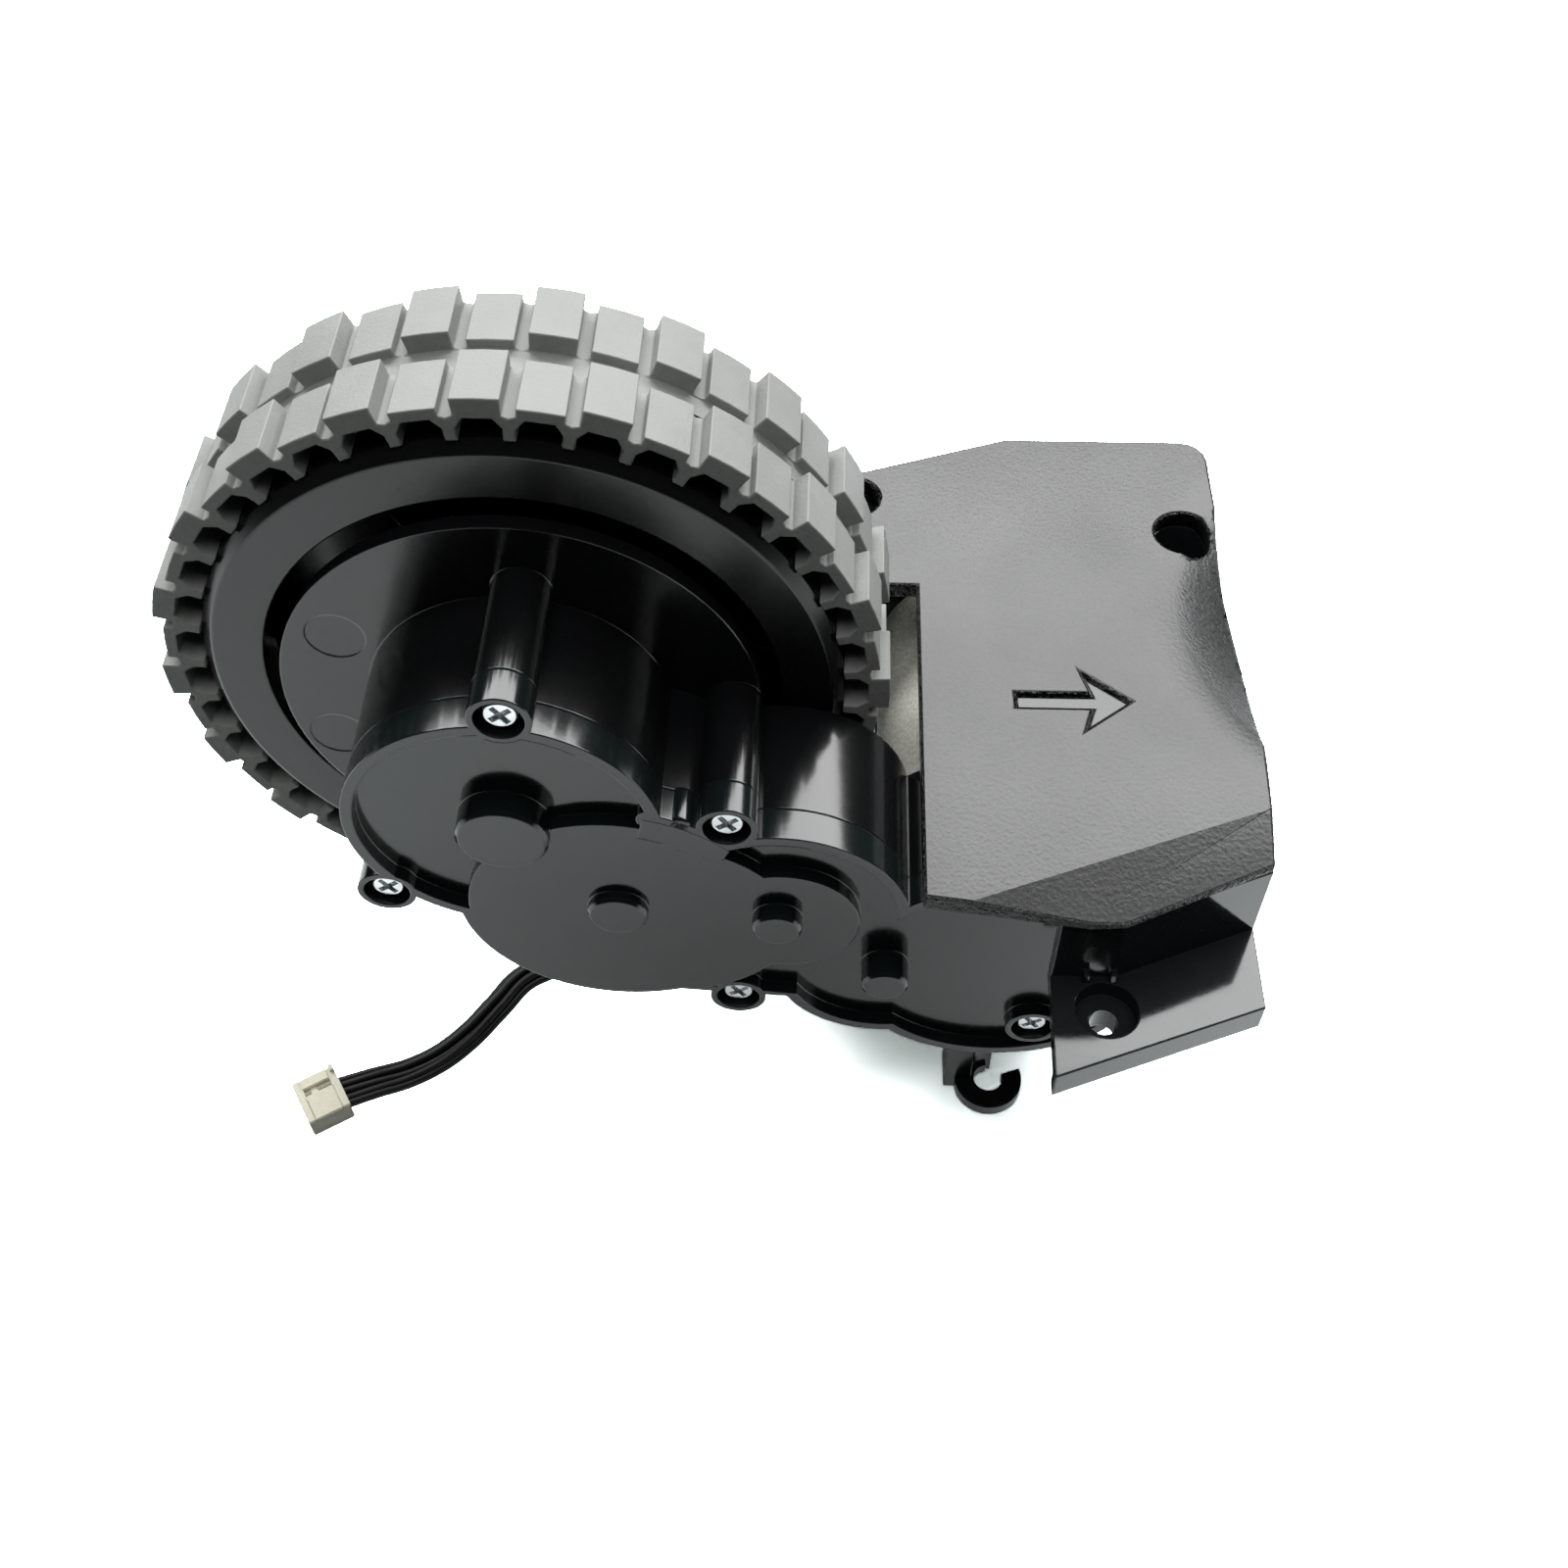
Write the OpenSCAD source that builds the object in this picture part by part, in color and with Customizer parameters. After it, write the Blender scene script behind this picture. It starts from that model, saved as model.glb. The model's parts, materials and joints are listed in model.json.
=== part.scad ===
// Drive wheel module of a robot vacuum, lying with the robot's underside upwards.
// A sprung arm carries a motor and a train of spur gears, and turns a wheel with a rubber tyre.
// The arm swings on a pin in a frame that is screwed into the robot.
// Everything is drawn about the wheel's axis: X along the arm towards the frame, Y along
// the axle away from the gear cover, Z out of the underside. place() moves it to the part's frame.

/* [Tyre] */
// Diameter over the tall tread blocks
tyre_d = 70; // [66:0.5:74]
// Width of the tyre
tyre_w = 15.3; // [14:0.1:18]
// Width of the front row of blocks
front_row_w = 6.4; // [5:0.1:7]
// Width of the channel between the rows
channel_w = 2.4; // [1.5:0.1:3]
// Pairs of one tall and one low block in a row
block_pairs = 20; // [16:1:22]
// Height of a tall block above the groove
block_h = 1.95; // [1.2:0.05:2.2]
// How much lower a low block is
block_drop = 0.9; // [0.4:0.05:1.1]
// Share of the pitch that a block fills
block_fill = 0.77; // [0.65:0.01:0.82]
// Rubber between the outside and the hub's drum
tyre_h = 4.4; // [4:0.1:5]
// Thickness of the ribs that seat on the drum
rib_t = 1.1; // [0.8:0.1:1.6]

/* [Hub] */
// Width of the flat ring that frames the hub's front
hub_ring_w = 5.9; // [5:0.1:7]
// Wall of the hub's drum and web
hub_wall = 1.8; // [1.4:0.1:2.4]
// Number of ribs behind the web
hub_ribs = 6; // [4:1:10]

/* [Gearbox] */
// Clearance between the housing's back and the tyre
arm_gap = 1.5; // [1.2:0.1:2.5]
// Depth of the rear shell
housing_d = 12.4; // [12:0.1:14]
// Height of the gear cover's side
cover_side = 3.45; // [3.3:0.05:4.5]
// How far the cover's floors lie below its rim
floor_drop = 1.35; // [1:0.05:1.5]
// Wall of the rear shell
housing_wall = 1.8; // [1.4:0.1:2]
// Thickness of the gear cover's floors and dome
cover_t = 1.5; // [1.2:0.1:1.6]
// Width of the rim round the gear cover
rim_w = 1.1; // [0.8:0.1:1.4]
// Radius of the disc that closes the hub
disc_r = 22.9; // [21:0.1:23.2]
// Outside radius of the screw bosses
screw_boss_r = 2.8; // [2.7:0.1:3.2]

/* [Gears] */
// Module of the two slow stages
slow_module = 0.8; // [0.7:0.05:0.82]
// Module of the middle stage
mid_module = 0.6; // [0.5:0.05:0.6]
// Module of the motor's stage
fast_module = 0.45; // [0.4:0.01:0.46]
// Play between two meshed teeth
backlash = 0.14; // [0.1:0.01:0.2]
// Diameter of the output shaft
shaft_d = 5; // [4:0.1:5.5]
// Diameter of the three gear pins
pin_d = 2; // [1.6:0.1:2.4]

/* [Motor] */
// Diameter of the motor's can
can_d = 24.4; // [22:0.1:24.6]
// Length of the motor's can
can_l = 30.8; // [27:0.1:33]
// Wall of the motor's can
can_wall = 1; // [0.8:0.1:1.2]
// Diameter of the motor's shaft
rotor_d = 2; // [1.8:0.1:2.3]

/* [Frame] */
// Height of the surface cover over the table
cover_z = 46.5; // [44.5:0.5:52]
// Thickness of the surface cover
plate_t = 2; // [1.6:0.1:2.6]
// Wall of the frame
frame_wall = 2; // [1.6:0.1:2.4]
// Height of the front wall between shelf and surface cover
front_wall_h = 9.5; // [8:0.1:11]
// Depth of the shelf from its edge to the front wall
shelf_d = 10; // [9:0.1:12]
// Thickness of the shelf
shelf_t = 2; // [1.6:0.1:2.6]
// Radius of the holes for the mounting screws
mount_hole_r = 1.4; // [1.2:0.05:1.7]
// Radius of the wells that the mounting screws sit in
well_r = 3.05; // [2.7:0.05:3.3]

/* [Pivot] */
// Diameter of the pivot pin
pivot_d = 3; // [2.5:0.1:3.4]
// Outside radius of the arm's sleeve on the pivot pin
sleeve_r = 4; // [3.4:0.1:4.2]
// Wire of the torsion spring
spring_wire = 0.9; // [0.7:0.05:1]

/* [Harness] */
// Width of the flat bundle of wires where they fan out into the plug
bundle_w = 4.4; // [4:0.1:4.8]
// Thickness of the bundle
bundle_t = 1; // [0.8:0.05:1.2]

/* [Hidden] */
$fn = 96;

// Clearances: running fits, pressed or glued seats, and parts that only lie beside each other
run_gap = 0.05;
seat_gap = 0.02;
side_gap = 0.4;
eps = 0.01;

// Tyre and hub
tall_r = tyre_d / 2;
low_r = tall_r - block_drop;
groove_r = tall_r - block_h;
drum_r = tall_r - tyre_h;
pocket_r = groove_r - 0.15;
pitch_a = 180 / block_pairs;
web_half = 0.5;
channel_y = front_row_w + channel_w / 2;
hub_front = -0.5;
hub_back = tyre_w - 0.5;
ring_in_r = drum_r - hub_ring_w;

// Levels of the gearbox along the axle, from the wheel towards the gear cover
back_y = -arm_gap;
part_y = back_y - housing_d;
rim_y = part_y - cover_side;
floor_y = rim_y + floor_drop;
floor_in_y = floor_y + cover_t;
dome_in_y = rim_y + cover_t;
wall_in_y = back_y - housing_wall;
disc_y = -0.55;
collar_y = 0.6;

// Teeth of the train, from the wheel to the motor
out_teeth = 27;
b_pinion_teeth = 11;
b_teeth = 28;
c_pinion_teeth = 10;
c_teeth = 31;
d_pinion_teeth = 17;
d_teeth = 37;
motor_teeth = 14;

// Axes in the plane of the arm, as [x, z]
function dir(a) = [cos(a), sin(a)];
ab_angle = -51.5;
bc_angle = -3.7;
cd_angle = -42.4;
dm_angle = 0.5;
A = [0, 0];
B = A + (out_teeth + b_pinion_teeth) / 2 * slow_module * dir(ab_angle);
C = B + (b_teeth + c_pinion_teeth) / 2 * slow_module * dir(bc_angle);
D = C + (c_teeth + d_pinion_teeth) / 2 * mid_module * dir(cd_angle);
M = D + (d_teeth + motor_teeth) / 2 * fast_module * dir(dm_angle);
P = M + [18.2, -1.5];

// Levels of the gears, as [far end, near end] along Y
gear_gap = 0.5;
out_level = [wall_in_y - 6, wall_in_y - 1];
b_pinion_level = [out_level[0] - 0.1, out_level[1] + 0.1];
dome_level = [dome_in_y + gear_gap, dome_in_y + gear_gap + 2.5];
d_level = [wall_in_y - 3.1, wall_in_y - 0.9];
c_level = [d_level[0] - 0.6 - 2.2, d_level[0] - 0.6];
d_pinion_level = [c_level[0] - 0.2, d_level[0]];
motor_level = [d_level[0] - 0.4, d_level[1] + 0.4];

// Outline of the arm: one lobe round each axis
lobe_a = (out_teeth / 2 + 0.8) * slow_module + 3.1;
lobe_b = (b_teeth / 2 + 0.8) * slow_module + 3.4;
lobe_c = (c_teeth / 2 + 0.8) * mid_module + 2.87;
lobe_d = (d_teeth / 2 + 0.8) * fast_module + 2.15;
lobe_m = can_d / 2 + 3.1;
flat_x = M.x + 11.8;
cover_screw_at = [A + (lobe_a + 0.9) * dir(83.6), C + (lobe_c + 1.85) * dir(107.6),
    A + (lobe_a + 1.4) * dir(219), D + (lobe_d + 4.75) * dir(198.5),
    M + (lobe_m - 4.5) * dir(-67)];

// Raised dome of the gear cover, as discs that run into each other: [centre, radius]
dome_discs = [[B + [-0.5, -0.6], lobe_b - rim_w - 0.35], [B + [4.5, -2.2], lobe_b - rim_w - 1.95],
    [C + [0.4, -0.8], 7.5], [A + (lobe_a - 0.9) * dir(9), 1.3]];

// Stubs of the gear cover: axis, radius, height over the rim
stub_a = [A, 4.25, 1.2];
stub_b = [B, 2.9, 1.1];
stub_c = [C, 2.4, 1.65];
stub_d = [D, 2.35, 1.6];

bush_r = shaft_d / 2 + 1;
spigot_t = 1.1;

// Small screws: head and shank
screw_head_r = 1.75;
screw_head_h = 1.3;
screw_r = 1;
screw_l = 7;
counterbore_d = 1.95;
counterbore_r = screw_boss_r - 0.6;

// Motor
can_r = can_d / 2;
can_back = back_y + can_l - 2;
cap_t = 2;
board_t = 1;
board_y = can_back + cap_t;
boss_r = 3;
boss_l = 1.4;
rotor_r = rotor_d / 2;
motor_screw_pitch = 16;
motor_screw_a = [dm_angle - 105, dm_angle + 75];

// Frame, in plan: [x, y]. The table is at table_z below the wheel's axis
top_z = -6;
table_z = top_z - cover_z;
plate_z = top_z - plate_t;
bevel_drop = 1.2;
bevel_run = 7;
stop_z = plate_z - side_gap;
shelf_z = plate_z - front_wall_h;
base_t = 2;
base_z = table_z + base_t;
right_x = 71.2;
notch_x = 38.2;
notch_y = 20.7;
ear_x = 10;
near_left = [notch_x, -19.3];
near_mid = [53.5, -21.3];
near_turn = [56.8, -21.1];
near_right = [right_x, -14.3];
bevel_line = [[43.5, -19.3], [70.1, -8.8]];
far_right = [right_x, 44.3];
far_mid = [48.5, 44.3];
far_left = [ear_x, 30.5];
wall_inset = 1;
front_wall_t = 1.5;
lip_h = 3.4;
wall_left = [51, near_mid.y + wall_inset];
wall_mid = [57, near_mid.y + wall_inset];
shelf_left = [wall_left.x - 0.2, wall_left.y - shelf_d - 1];
shelf_right = [right_x, near_right.y - shelf_d + 1];
edge_bulge = 0.8;
edge_from = 22;
well_a = [67.2, 29.4];
well_b = [31.2, 34.2];
well_c = [56.1, shelf_left.y + 7.4];
// Depths of the three wells below the surface that they open in
well_a_depth = 7.5;
well_b_depth = 3.5;
well_c_depth = 2.3;
// Scoop on the surface cover's right edge: the side of a ring that sinks into the plate
scoop_at = [90.6, 17];
scoop_r = 14;
scoop_depth = 3;
scoop_ring_r = 25.6 - sqrt(2 * scoop_r * scoop_depth - scoop_depth * scoop_depth);
well_boss_l = 6;
well_wall = 0.9;
lug_at = [[60, 39.2], [19, 28.2]];
lug_r = 3.4;
cover_boss_l = 5;
lug_t = 2;
corner_r = 3;
slope_z = shelf_z - shelf_t - 6;
slope_y = -3;

// Pivot, along Y
sleeve_y = [part_y + 1.4, back_y];
front_ear = [sleeve_y[0] - side_gap - 2.6, sleeve_y[0] - side_gap];
spring_y = [back_y + 0.55, back_y + 7.2];
rear_ear = [spring_y[1] + spring_wire + 0.3, spring_y[1] + spring_wire + 2.8];
ear_r = 4.2;
spring_r = 3.45;
spring_turns = 5 + 89 / 360;

// The frame's base stops short of the wheel's sweep about the pivot
wheel_clear_x = P.x - sqrt(max(1, pow(norm(P) - tall_r - 0.8, 2) - pow(P.y - table_z, 2)));

// Harness: the route of the bundle's centreline, and the plug at its end
header_h = 3;
header_l = 7.6;
header_at = [46.6, board_y + board_t + header_h / 2, -34];
route = [header_at - [header_l / 2, 0, 0], [40.4, 31.8, -34.1], [37, 30.6, -36.2],
    [34.3, 27.4, -39.8], [32.3, 22.8, -44], [29.5, 17.2, -47.4], [24.6, 11.8, -49.8],
    [18, 7, -51.2], [9.5, 4, -51.7], [0, 2.4, -51.7], [-6.2, -0.4, -51.7], [-9.2, -4.6, -51.7],
    [-11.8, -8.5, -51.7], [-14.8, -11.7, -51.7], [-18.2, -14, -51.5], [-21.8, -15.6, -51.1],
    [-25.5, -17.3, -50.8]];
bundle_neck = 0.62;
plug_l = 4.7;
plug_w = 6.5;
plug_h = 3.6;
plug_turn = 32;

// The part's frame: middle of the outline without the harness, on the table
origin = [(right_x + edge_bulge - tall_r) / 2, (shelf_left.y + far_mid.y) / 2, table_z];

// Placing and drawing helpers
module place() translate(-origin) children();

module rod(c, r, y0, y1) translate([c.x, y1, c.y]) rotate([90, 0, 0]) cylinder(r = r, h = y1 - y0);

module slab(y0, y1) translate([0, y1, 0]) rotate([90, 0, 0]) linear_extrude(height = y1 - y0)
    children();

module turned(c = [0, 0]) translate([c.x, 0, c.y]) rotate([-90, 0, 0]) rotate_extrude() children();

module plan(z0, z1) translate([0, 0, z0]) linear_extrude(height = z1 - z0) children();

module disc(c, r) translate(c) circle(r = r);

// A rod along Y whose end at y0 has a small chamfer
module stub(c, r, y0, y1, chamfer = 0.35) turned(c)
    polygon([[0, y0], [r - chamfer, y0], [r, y0 + chamfer], [r, y1], [0, y1]]);

// Involute teeth
function inv(a) = tan(a) * 180 / PI - a;
function flank_angle(r, rp, rb, half) = r <= rb ? half + inv(20)
    : half + inv(20) - inv(acos(rb / r));
function on_circle(r, a) = r * dir(a);

// Where gear 2 stands to mesh with gear 1, whose first tooth is at phase1
function mesh_phase(toward, z1, phase1, z2) =
    toward + 180 - (0.5 - (toward - phase1) * z1 / 360) * 360 / z2;

module gear2d(teeth, mod, phase, tip = 0.8, root = 1.1) {
    rp = teeth * mod / 2;
    rb = rp * cos(20);
    ra = rp + tip * mod;
    rr = rp - root * mod;
    half = 90 / teeth - backlash / 2 / rp * 180 / PI / 2;
    start = max(rb, rr);
    radii = [rr, for (i = [0:3]) start + (ra - start) * i / 3];
    polygon([for (k = [0:teeth - 1]) let (a = phase + k * 360 / teeth) each concat(
        [for (r = radii) on_circle(r, a - flank_angle(r, rp, rb, half))],
        [for (i = [len(radii) - 1:-1:0])
            on_circle(radii[i], a + flank_angle(radii[i], rp, rb, half))])]);
}

phase_a = 0;
phase_b_pinion = mesh_phase(ab_angle, out_teeth, phase_a, b_pinion_teeth);
phase_b = 0;
phase_c_pinion = mesh_phase(bc_angle, b_teeth, phase_b, c_pinion_teeth);
phase_c = 0;
phase_d_pinion = mesh_phase(cd_angle, c_teeth, phase_c, d_pinion_teeth);
phase_d = 0;
phase_motor = mesh_phase(dm_angle, d_teeth, phase_d, motor_teeth);

// A solid swept along points: section is [across, up] pairs, up is the reference direction,
// and scale holds one [across, up] factor for each point
function unit(v) = v / norm(v);
function tangent(p, i) = unit(p[min(i + 1, len(p) - 1)] - p[max(i - 1, 0)]);
function ring(p, i, section, up, k) = let (t = tangent(p, i), u = unit(cross(t, up)),
    v = cross(u, t)) [for (s = section) p[i] + s.x * k.x * u + s.y * k.y * v];
module swept(p, section, up, scale) {
    n = len(section);
    rings = len(p);
    polyhedron(
        points = [for (i = [0:rings - 1]) each ring(p, i, section, up, scale[i])],
        faces = concat([[for (j = [0:n - 1]) j]],
            [for (i = [0:rings - 2]) for (j = [0:n - 1])
                [i * n + j, (i + 1) * n + j, (i + 1) * n + (j + 1) % n, i * n + (j + 1) % n]],
            [[for (j = [n - 1:-1:0]) (rings - 1) * n + j]]));
}
// An even-sided section whose flats lie at radius r
function flat_section(r, n) = [for (j = [0:n - 1]) r / cos(180 / n) * dir(180 / n - 360 * j / n)];

// A smooth curve through points
function spline(p, i, t) = let (a = p[max(i - 1, 0)], b = p[i], c = p[i + 1],
    d = p[min(i + 2, len(p) - 1)])
    0.5 * (2 * b + (c - a) * t + (2 * a - 5 * b + 4 * c - d) * t * t
        + (3 * b - a - 3 * c + d) * t * t * t);
function smooth(p, steps) = [for (i = [0:len(p) - 2]) for (s = [0:steps - 1])
    spline(p, i, s / steps), p[len(p) - 1]];

// Outlines of the gearbox
module gearbox_outline(inset = 0) difference() {
    union() {
        disc(A, lobe_a - inset);
        disc(B, lobe_b - inset);
        disc(C, lobe_c - inset);
        disc(D, lobe_d - inset);
        disc(M, lobe_m - inset);
        polygon([B + (lobe_b - inset) * dir(-70), D + (lobe_d - inset) * dir(-155), D, C, B]);
        polygon([C + (lobe_c - inset) * dir(-8), M + (lobe_m - inset) * dir(120), M, D, C]);
    }
    translate([flat_x - inset, M.y - 40]) square([60, 80]);
    // Flat that rests against the surface cover when the arm is down
    translate([notch_x - 2 * side_gap, stop_z - inset]) square([40, 40]);
}

module shell_outline() {
    gearbox_outline();
    for (s = cover_screw_at) disc(s, screw_boss_r);
    disc(A + lobe_a * dir(-2) + [1.2, 0.8], 1.2);
}

// Room for the two gears that turn inside the dome
module dome_room() {
    gear_r = (b_teeth / 2 + 0.8) * slow_module + side_gap;
    pinion_r = (c_pinion_teeth / 2 + 0.8) * slow_module + side_gap;
    disc(B, gear_r);
    disc(C, pinion_r);
    polygon([B + [0, pinion_r], C + [0, pinion_r], C - [0, pinion_r], B - [0, pinion_r]]);
}

// Frame: a strip of wall along points, t thick on the left of their direction
module wall_line(points, t) for (i = [0:len(points) - 2]) {
    d = unit(points[i + 1] - points[i]);
    n = [-d.y, d.x];
    polygon([points[i], points[i + 1], points[i + 1] + t * n, points[i] + t * n]);
}

module frame_walls() {
    difference() {
        plan(table_z, plate_z) {
            wall_line([near_right, far_right], frame_wall);
            wall_line([far_right, far_mid, far_left, [ear_x, notch_y]], frame_wall);
        }
        // The near end of the right wall slopes back below the shelf
        translate([right_x - 3 * frame_wall, 0, 0]) rotate([90, 0, 90])
            linear_extrude(height = 6 * frame_wall)
                polygon([[near_right.y - 10, slope_z], [near_right.y, slope_z], [slope_y, base_z],
                    [slope_y, table_z - 1], [near_right.y - 10, table_z - 1]]);
        // Left of the base the wall ends a little above the table
        plan(table_z - 1, base_z + base_t) translate([0, notch_y - 1])
            square([wheel_clear_x, 40]);
    }
    plan(shelf_z - shelf_t, plate_z) wall_line([wall_left, wall_mid, near_right], front_wall_t);
}

module frame_base() plan(table_z, base_z) polygon([[wheel_clear_x, 4], [right_x, slope_y],
    far_right, far_mid, far_mid - [1.2, 1]]);

module shelf() {
    plan(shelf_z - shelf_t, shelf_z) polygon([shelf_left, shelf_right, near_right,
        near_right + [0, 3], near_right + [-4, 3], wall_mid + [1.5, front_wall_t],
        wall_left + [0, front_wall_t]]);
    // Lip that stiffens the shelf's edge
    plan(shelf_z - lip_h, shelf_z) polygon([shelf_left, shelf_right,
        shelf_right + [0, front_wall_t], shelf_left + [0, front_wall_t]]);
}

// Ears that hold the pivot pin: the front one hangs from the shelf, the rear one from the wall
module frame_ears() {
    wall_in = right_x - eps;
    slab(front_ear[0], front_ear[1]) {
        disc(P, ear_r);
        polygon([[P.x - ear_r, P.y], [wall_in, P.y - ear_r], [wall_in, shelf_z - eps],
            [P.x - ear_r, shelf_z - eps]]);
    }
    slab(rear_ear[0], rear_ear[1]) {
        disc(P, ear_r);
        polygon([[P.x, P.y - ear_r], [wall_in, P.y - 2 * ear_r], [wall_in, P.y + 2 * ear_r],
            [P.x, P.y + ear_r]]);
    }
}

// Tubes for the mounting screws, and lugs for the surface cover's own screws
module frame_bosses() {
    boss_r2 = well_r + well_wall;
    lug_top = plate_z - cover_boss_l;
    translate([well_a.x, well_a.y, top_z - well_a_depth - well_boss_l])
        cylinder(r = boss_r2, h = plate_z - top_z + well_a_depth + well_boss_l);
    translate([well_b.x, well_b.y, top_z - well_b_depth - well_boss_l])
        cylinder(r = boss_r2, h = well_boss_l);
    translate([well_c.x, well_c.y, shelf_z - well_c_depth - 3])
        cylinder(r = boss_r2, h = well_c_depth + 3 - eps);
    for (x = [-1.3, 1.3]) translate([well_c.x - 0.5 + x - 0.3, well_c.y + well_r - 0.2, shelf_z - eps])
        cube([0.6, wall_mid.y - well_c.y - well_r + 0.4, 1.4]);
    plan(lug_top - lug_t, lug_top) {
        for (p = lug_at) disc(p, lug_r);
        translate(lug_at[0] - [lug_r, 0]) square([2 * lug_r, far_mid.y - lug_at[0].y - 1]);
        translate([ear_x + 1, lug_at[1].y - lug_r]) square([lug_at[1].x - ear_x - 1, lug_r + 1]);
    }
}

module frame() color("#101113") place() difference() {
    union() {
        frame_walls();
        frame_base();
        shelf();
        frame_ears();
        frame_bosses();
    }
    // Seats and holes for the mounting screws
    for (w = [well_a, well_b, well_c]) translate([w.x, w.y, shelf_z - 20])
        cylinder(r = mount_hole_r, h = 20 + front_wall_h);
    translate([well_c.x, well_c.y, shelf_z - well_c_depth])
        cylinder(r = well_r, h = well_c_depth + 2);
    translate([well_a.x, well_a.y, top_z - well_a_depth]) cylinder(r = well_r, h = well_a_depth);
    scoop(plate_t + seat_gap);
    for (p = lug_at) translate([p.x, p.y, plate_z - cover_boss_l - lug_t - 1])
        cylinder(r = screw_r + 0.15, h = lug_t + 2);
    rod(P, pivot_d / 2 + seat_gap, front_ear[0] - 1, rear_ear[1] + 1);
}

// Surface cover: the textured plate that is flush with the robot's underside
module cover_plan() polygon(concat(
    [near_left, near_mid, near_turn],
    [for (i = [0:12]) [right_x + edge_bulge * sin(15 * i), near_right.y
        + (edge_from - near_right.y) * i / 12]],
    [for (i = [0:4]) far_right - corner_r * [1 - cos(22.5 * i), 1 - sin(22.5 * i)]],
    [far_mid, far_left, [ear_x, notch_y], [notch_x, notch_y]]));

module scoop(extra = 0) translate([scoop_at.x, scoop_at.y, top_z - scoop_depth + scoop_r])
    rotate_extrude() translate([scoop_ring_r, 0]) circle(r = scoop_r + extra);

module surface_cover() color("#3a3c3e") place() difference() {
    union() {
        plan(plate_z, top_z) cover_plan();
        // The plate's wall follows the scoop down
        intersection() {
            plan(plate_z - scoop_depth - plate_t, plate_z + eps) intersection() {
                cover_plan();
                translate([right_x - 12, scoop_at.y - 20]) square([20, 40]);
            }
            scoop(plate_t);
        }
        for (p = lug_at) translate([p.x, p.y, plate_z - cover_boss_l])
            cylinder(r = 2.6, h = cover_boss_l + eps);
    }
    bevel();
    scoop();
    for (w = [well_a, well_b]) translate([w.x, w.y, plate_z - 10]) cylinder(r = well_r, h = 20);
    for (p = lug_at) translate([p.x, p.y, plate_z - cover_boss_l - 1])
        cylinder(r = screw_r + seat_gap, h = cover_boss_l + 1.6);
    arrow_mark();
}

// The near edge falls away: a wedge below a plane through the bevel's upper line
module bevel() {
    run = bevel_line[1] - bevel_line[0];
    translate([bevel_line[0].x, bevel_line[0].y, top_z]) rotate([0, 0, atan2(run.y, run.x)])
        rotate([atan(bevel_drop / bevel_run), 0, 0]) translate([-10, -40, 0]) cube([80, 40, 10]);
}

// A plain recessed arrow that shows the way the robot drives
arrow_at = [53.6, 4.9];
arrow_depth = 0.5;
arrow_l = 11.6;
arrow_w = 1.9;
module arrow_mark() plan(top_z - arrow_depth, top_z + 1) translate(arrow_at)
    polygon([[-arrow_l / 2, -arrow_w / 2], [arrow_w, -arrow_w / 2], [arrow_w / 2, -arrow_l / 3],
        [arrow_l / 2, 0], [arrow_w / 2, arrow_l / 3], [arrow_w, arrow_w / 2],
        [-arrow_l / 2, arrow_w / 2]]);

// A pan head screw with a cross recess, seated at z 0 with its shank below
module small_screw(l, head_r = screw_head_r, head_h = screw_head_h) difference() {
    union() {
        cylinder(r = head_r, h = head_h * 0.6);
        translate([0, 0, head_h * 0.6]) cylinder(r1 = head_r, r2 = head_r * 0.8, h = head_h * 0.4);
        translate([0, 0, -l]) cylinder(r = screw_r, h = l + eps);
    }
    for (a = [0, 90]) rotate(a) translate([-head_r * 0.65, -head_r * 0.15, head_h * 0.4])
        cube([head_r * 1.3, head_r * 0.3, head_h]);
}

module cover_screws() color("#c9ccd0") place() for (p = lug_at)
    translate([p.x, p.y, plate_z - cover_boss_l - lug_t]) mirror([0, 0, 1])
        small_screw(lug_t + cover_boss_l - 0.8);

// Pivot
module pivot_pin() color("#b9bdc2") place() difference() {
    union() {
        rod(P, pivot_d / 2, front_ear[0] - eps, rear_ear[1] + 1.6);
        rod(P, pivot_d / 2 + 1.1, front_ear[0] - 1, front_ear[0]);
    }
    // Groove for the clip
    turned(P) polygon([[pivot_d / 2 - 0.4, rear_ear[1] + 0.1], [pivot_d, rear_ear[1] + 0.1],
        [pivot_d, rear_ear[1] + 0.7], [pivot_d / 2 - 0.4, rear_ear[1] + 0.7]]);
}

module pin_clip() color("#8d9196") place() slab(rear_ear[1] + 0.12, rear_ear[1] + 0.68)
    difference() {
        disc(P, pivot_d / 2 + 1.5);
        disc(P, pivot_d / 2 - 0.4 + seat_gap);
        translate(P - [pivot_d / 2 - 0.45, 10]) square([pivot_d - 0.9, 10]);
    }

// A wire coil round the sleeve: its front leg lifts the arm's lug, its rear leg bears on the wall
spring_start = 90;
spring_steps = 72;
spring_end = spring_start - 360 * spring_turns;
lug_xz = P + [-4.2, spring_r + spring_wire / 2 + 1.05];
function coil_point(k) = let (a = spring_start + (spring_end - spring_start) * k / spring_steps,
    q = P + spring_r * dir(a)) [q.x, spring_y[0] + spring_wire / 2
        + (spring_y[1] - spring_y[0] - spring_wire) * k / spring_steps, q.y];
function leg_point(a, l, y) = let (q = P + spring_r * dir(a) + l * dir(a + 90)) [q.x, y, q.y];
spring_path = concat(
    [for (l = [5.4, 2.7]) leg_point(spring_start, l, spring_y[0] + spring_wire / 2)],
    [for (k = [0:spring_steps]) coil_point(k)],
    [for (l = [-5, -14]) leg_point(spring_end, l, spring_y[1] - spring_wire / 2)]);

module torsion_spring() color("#aeb2b6") place()
    swept(spring_path, flat_section(spring_wire / 2, 8), [0, 1, 0], [for (q = spring_path) [1, 1]]);

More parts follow.
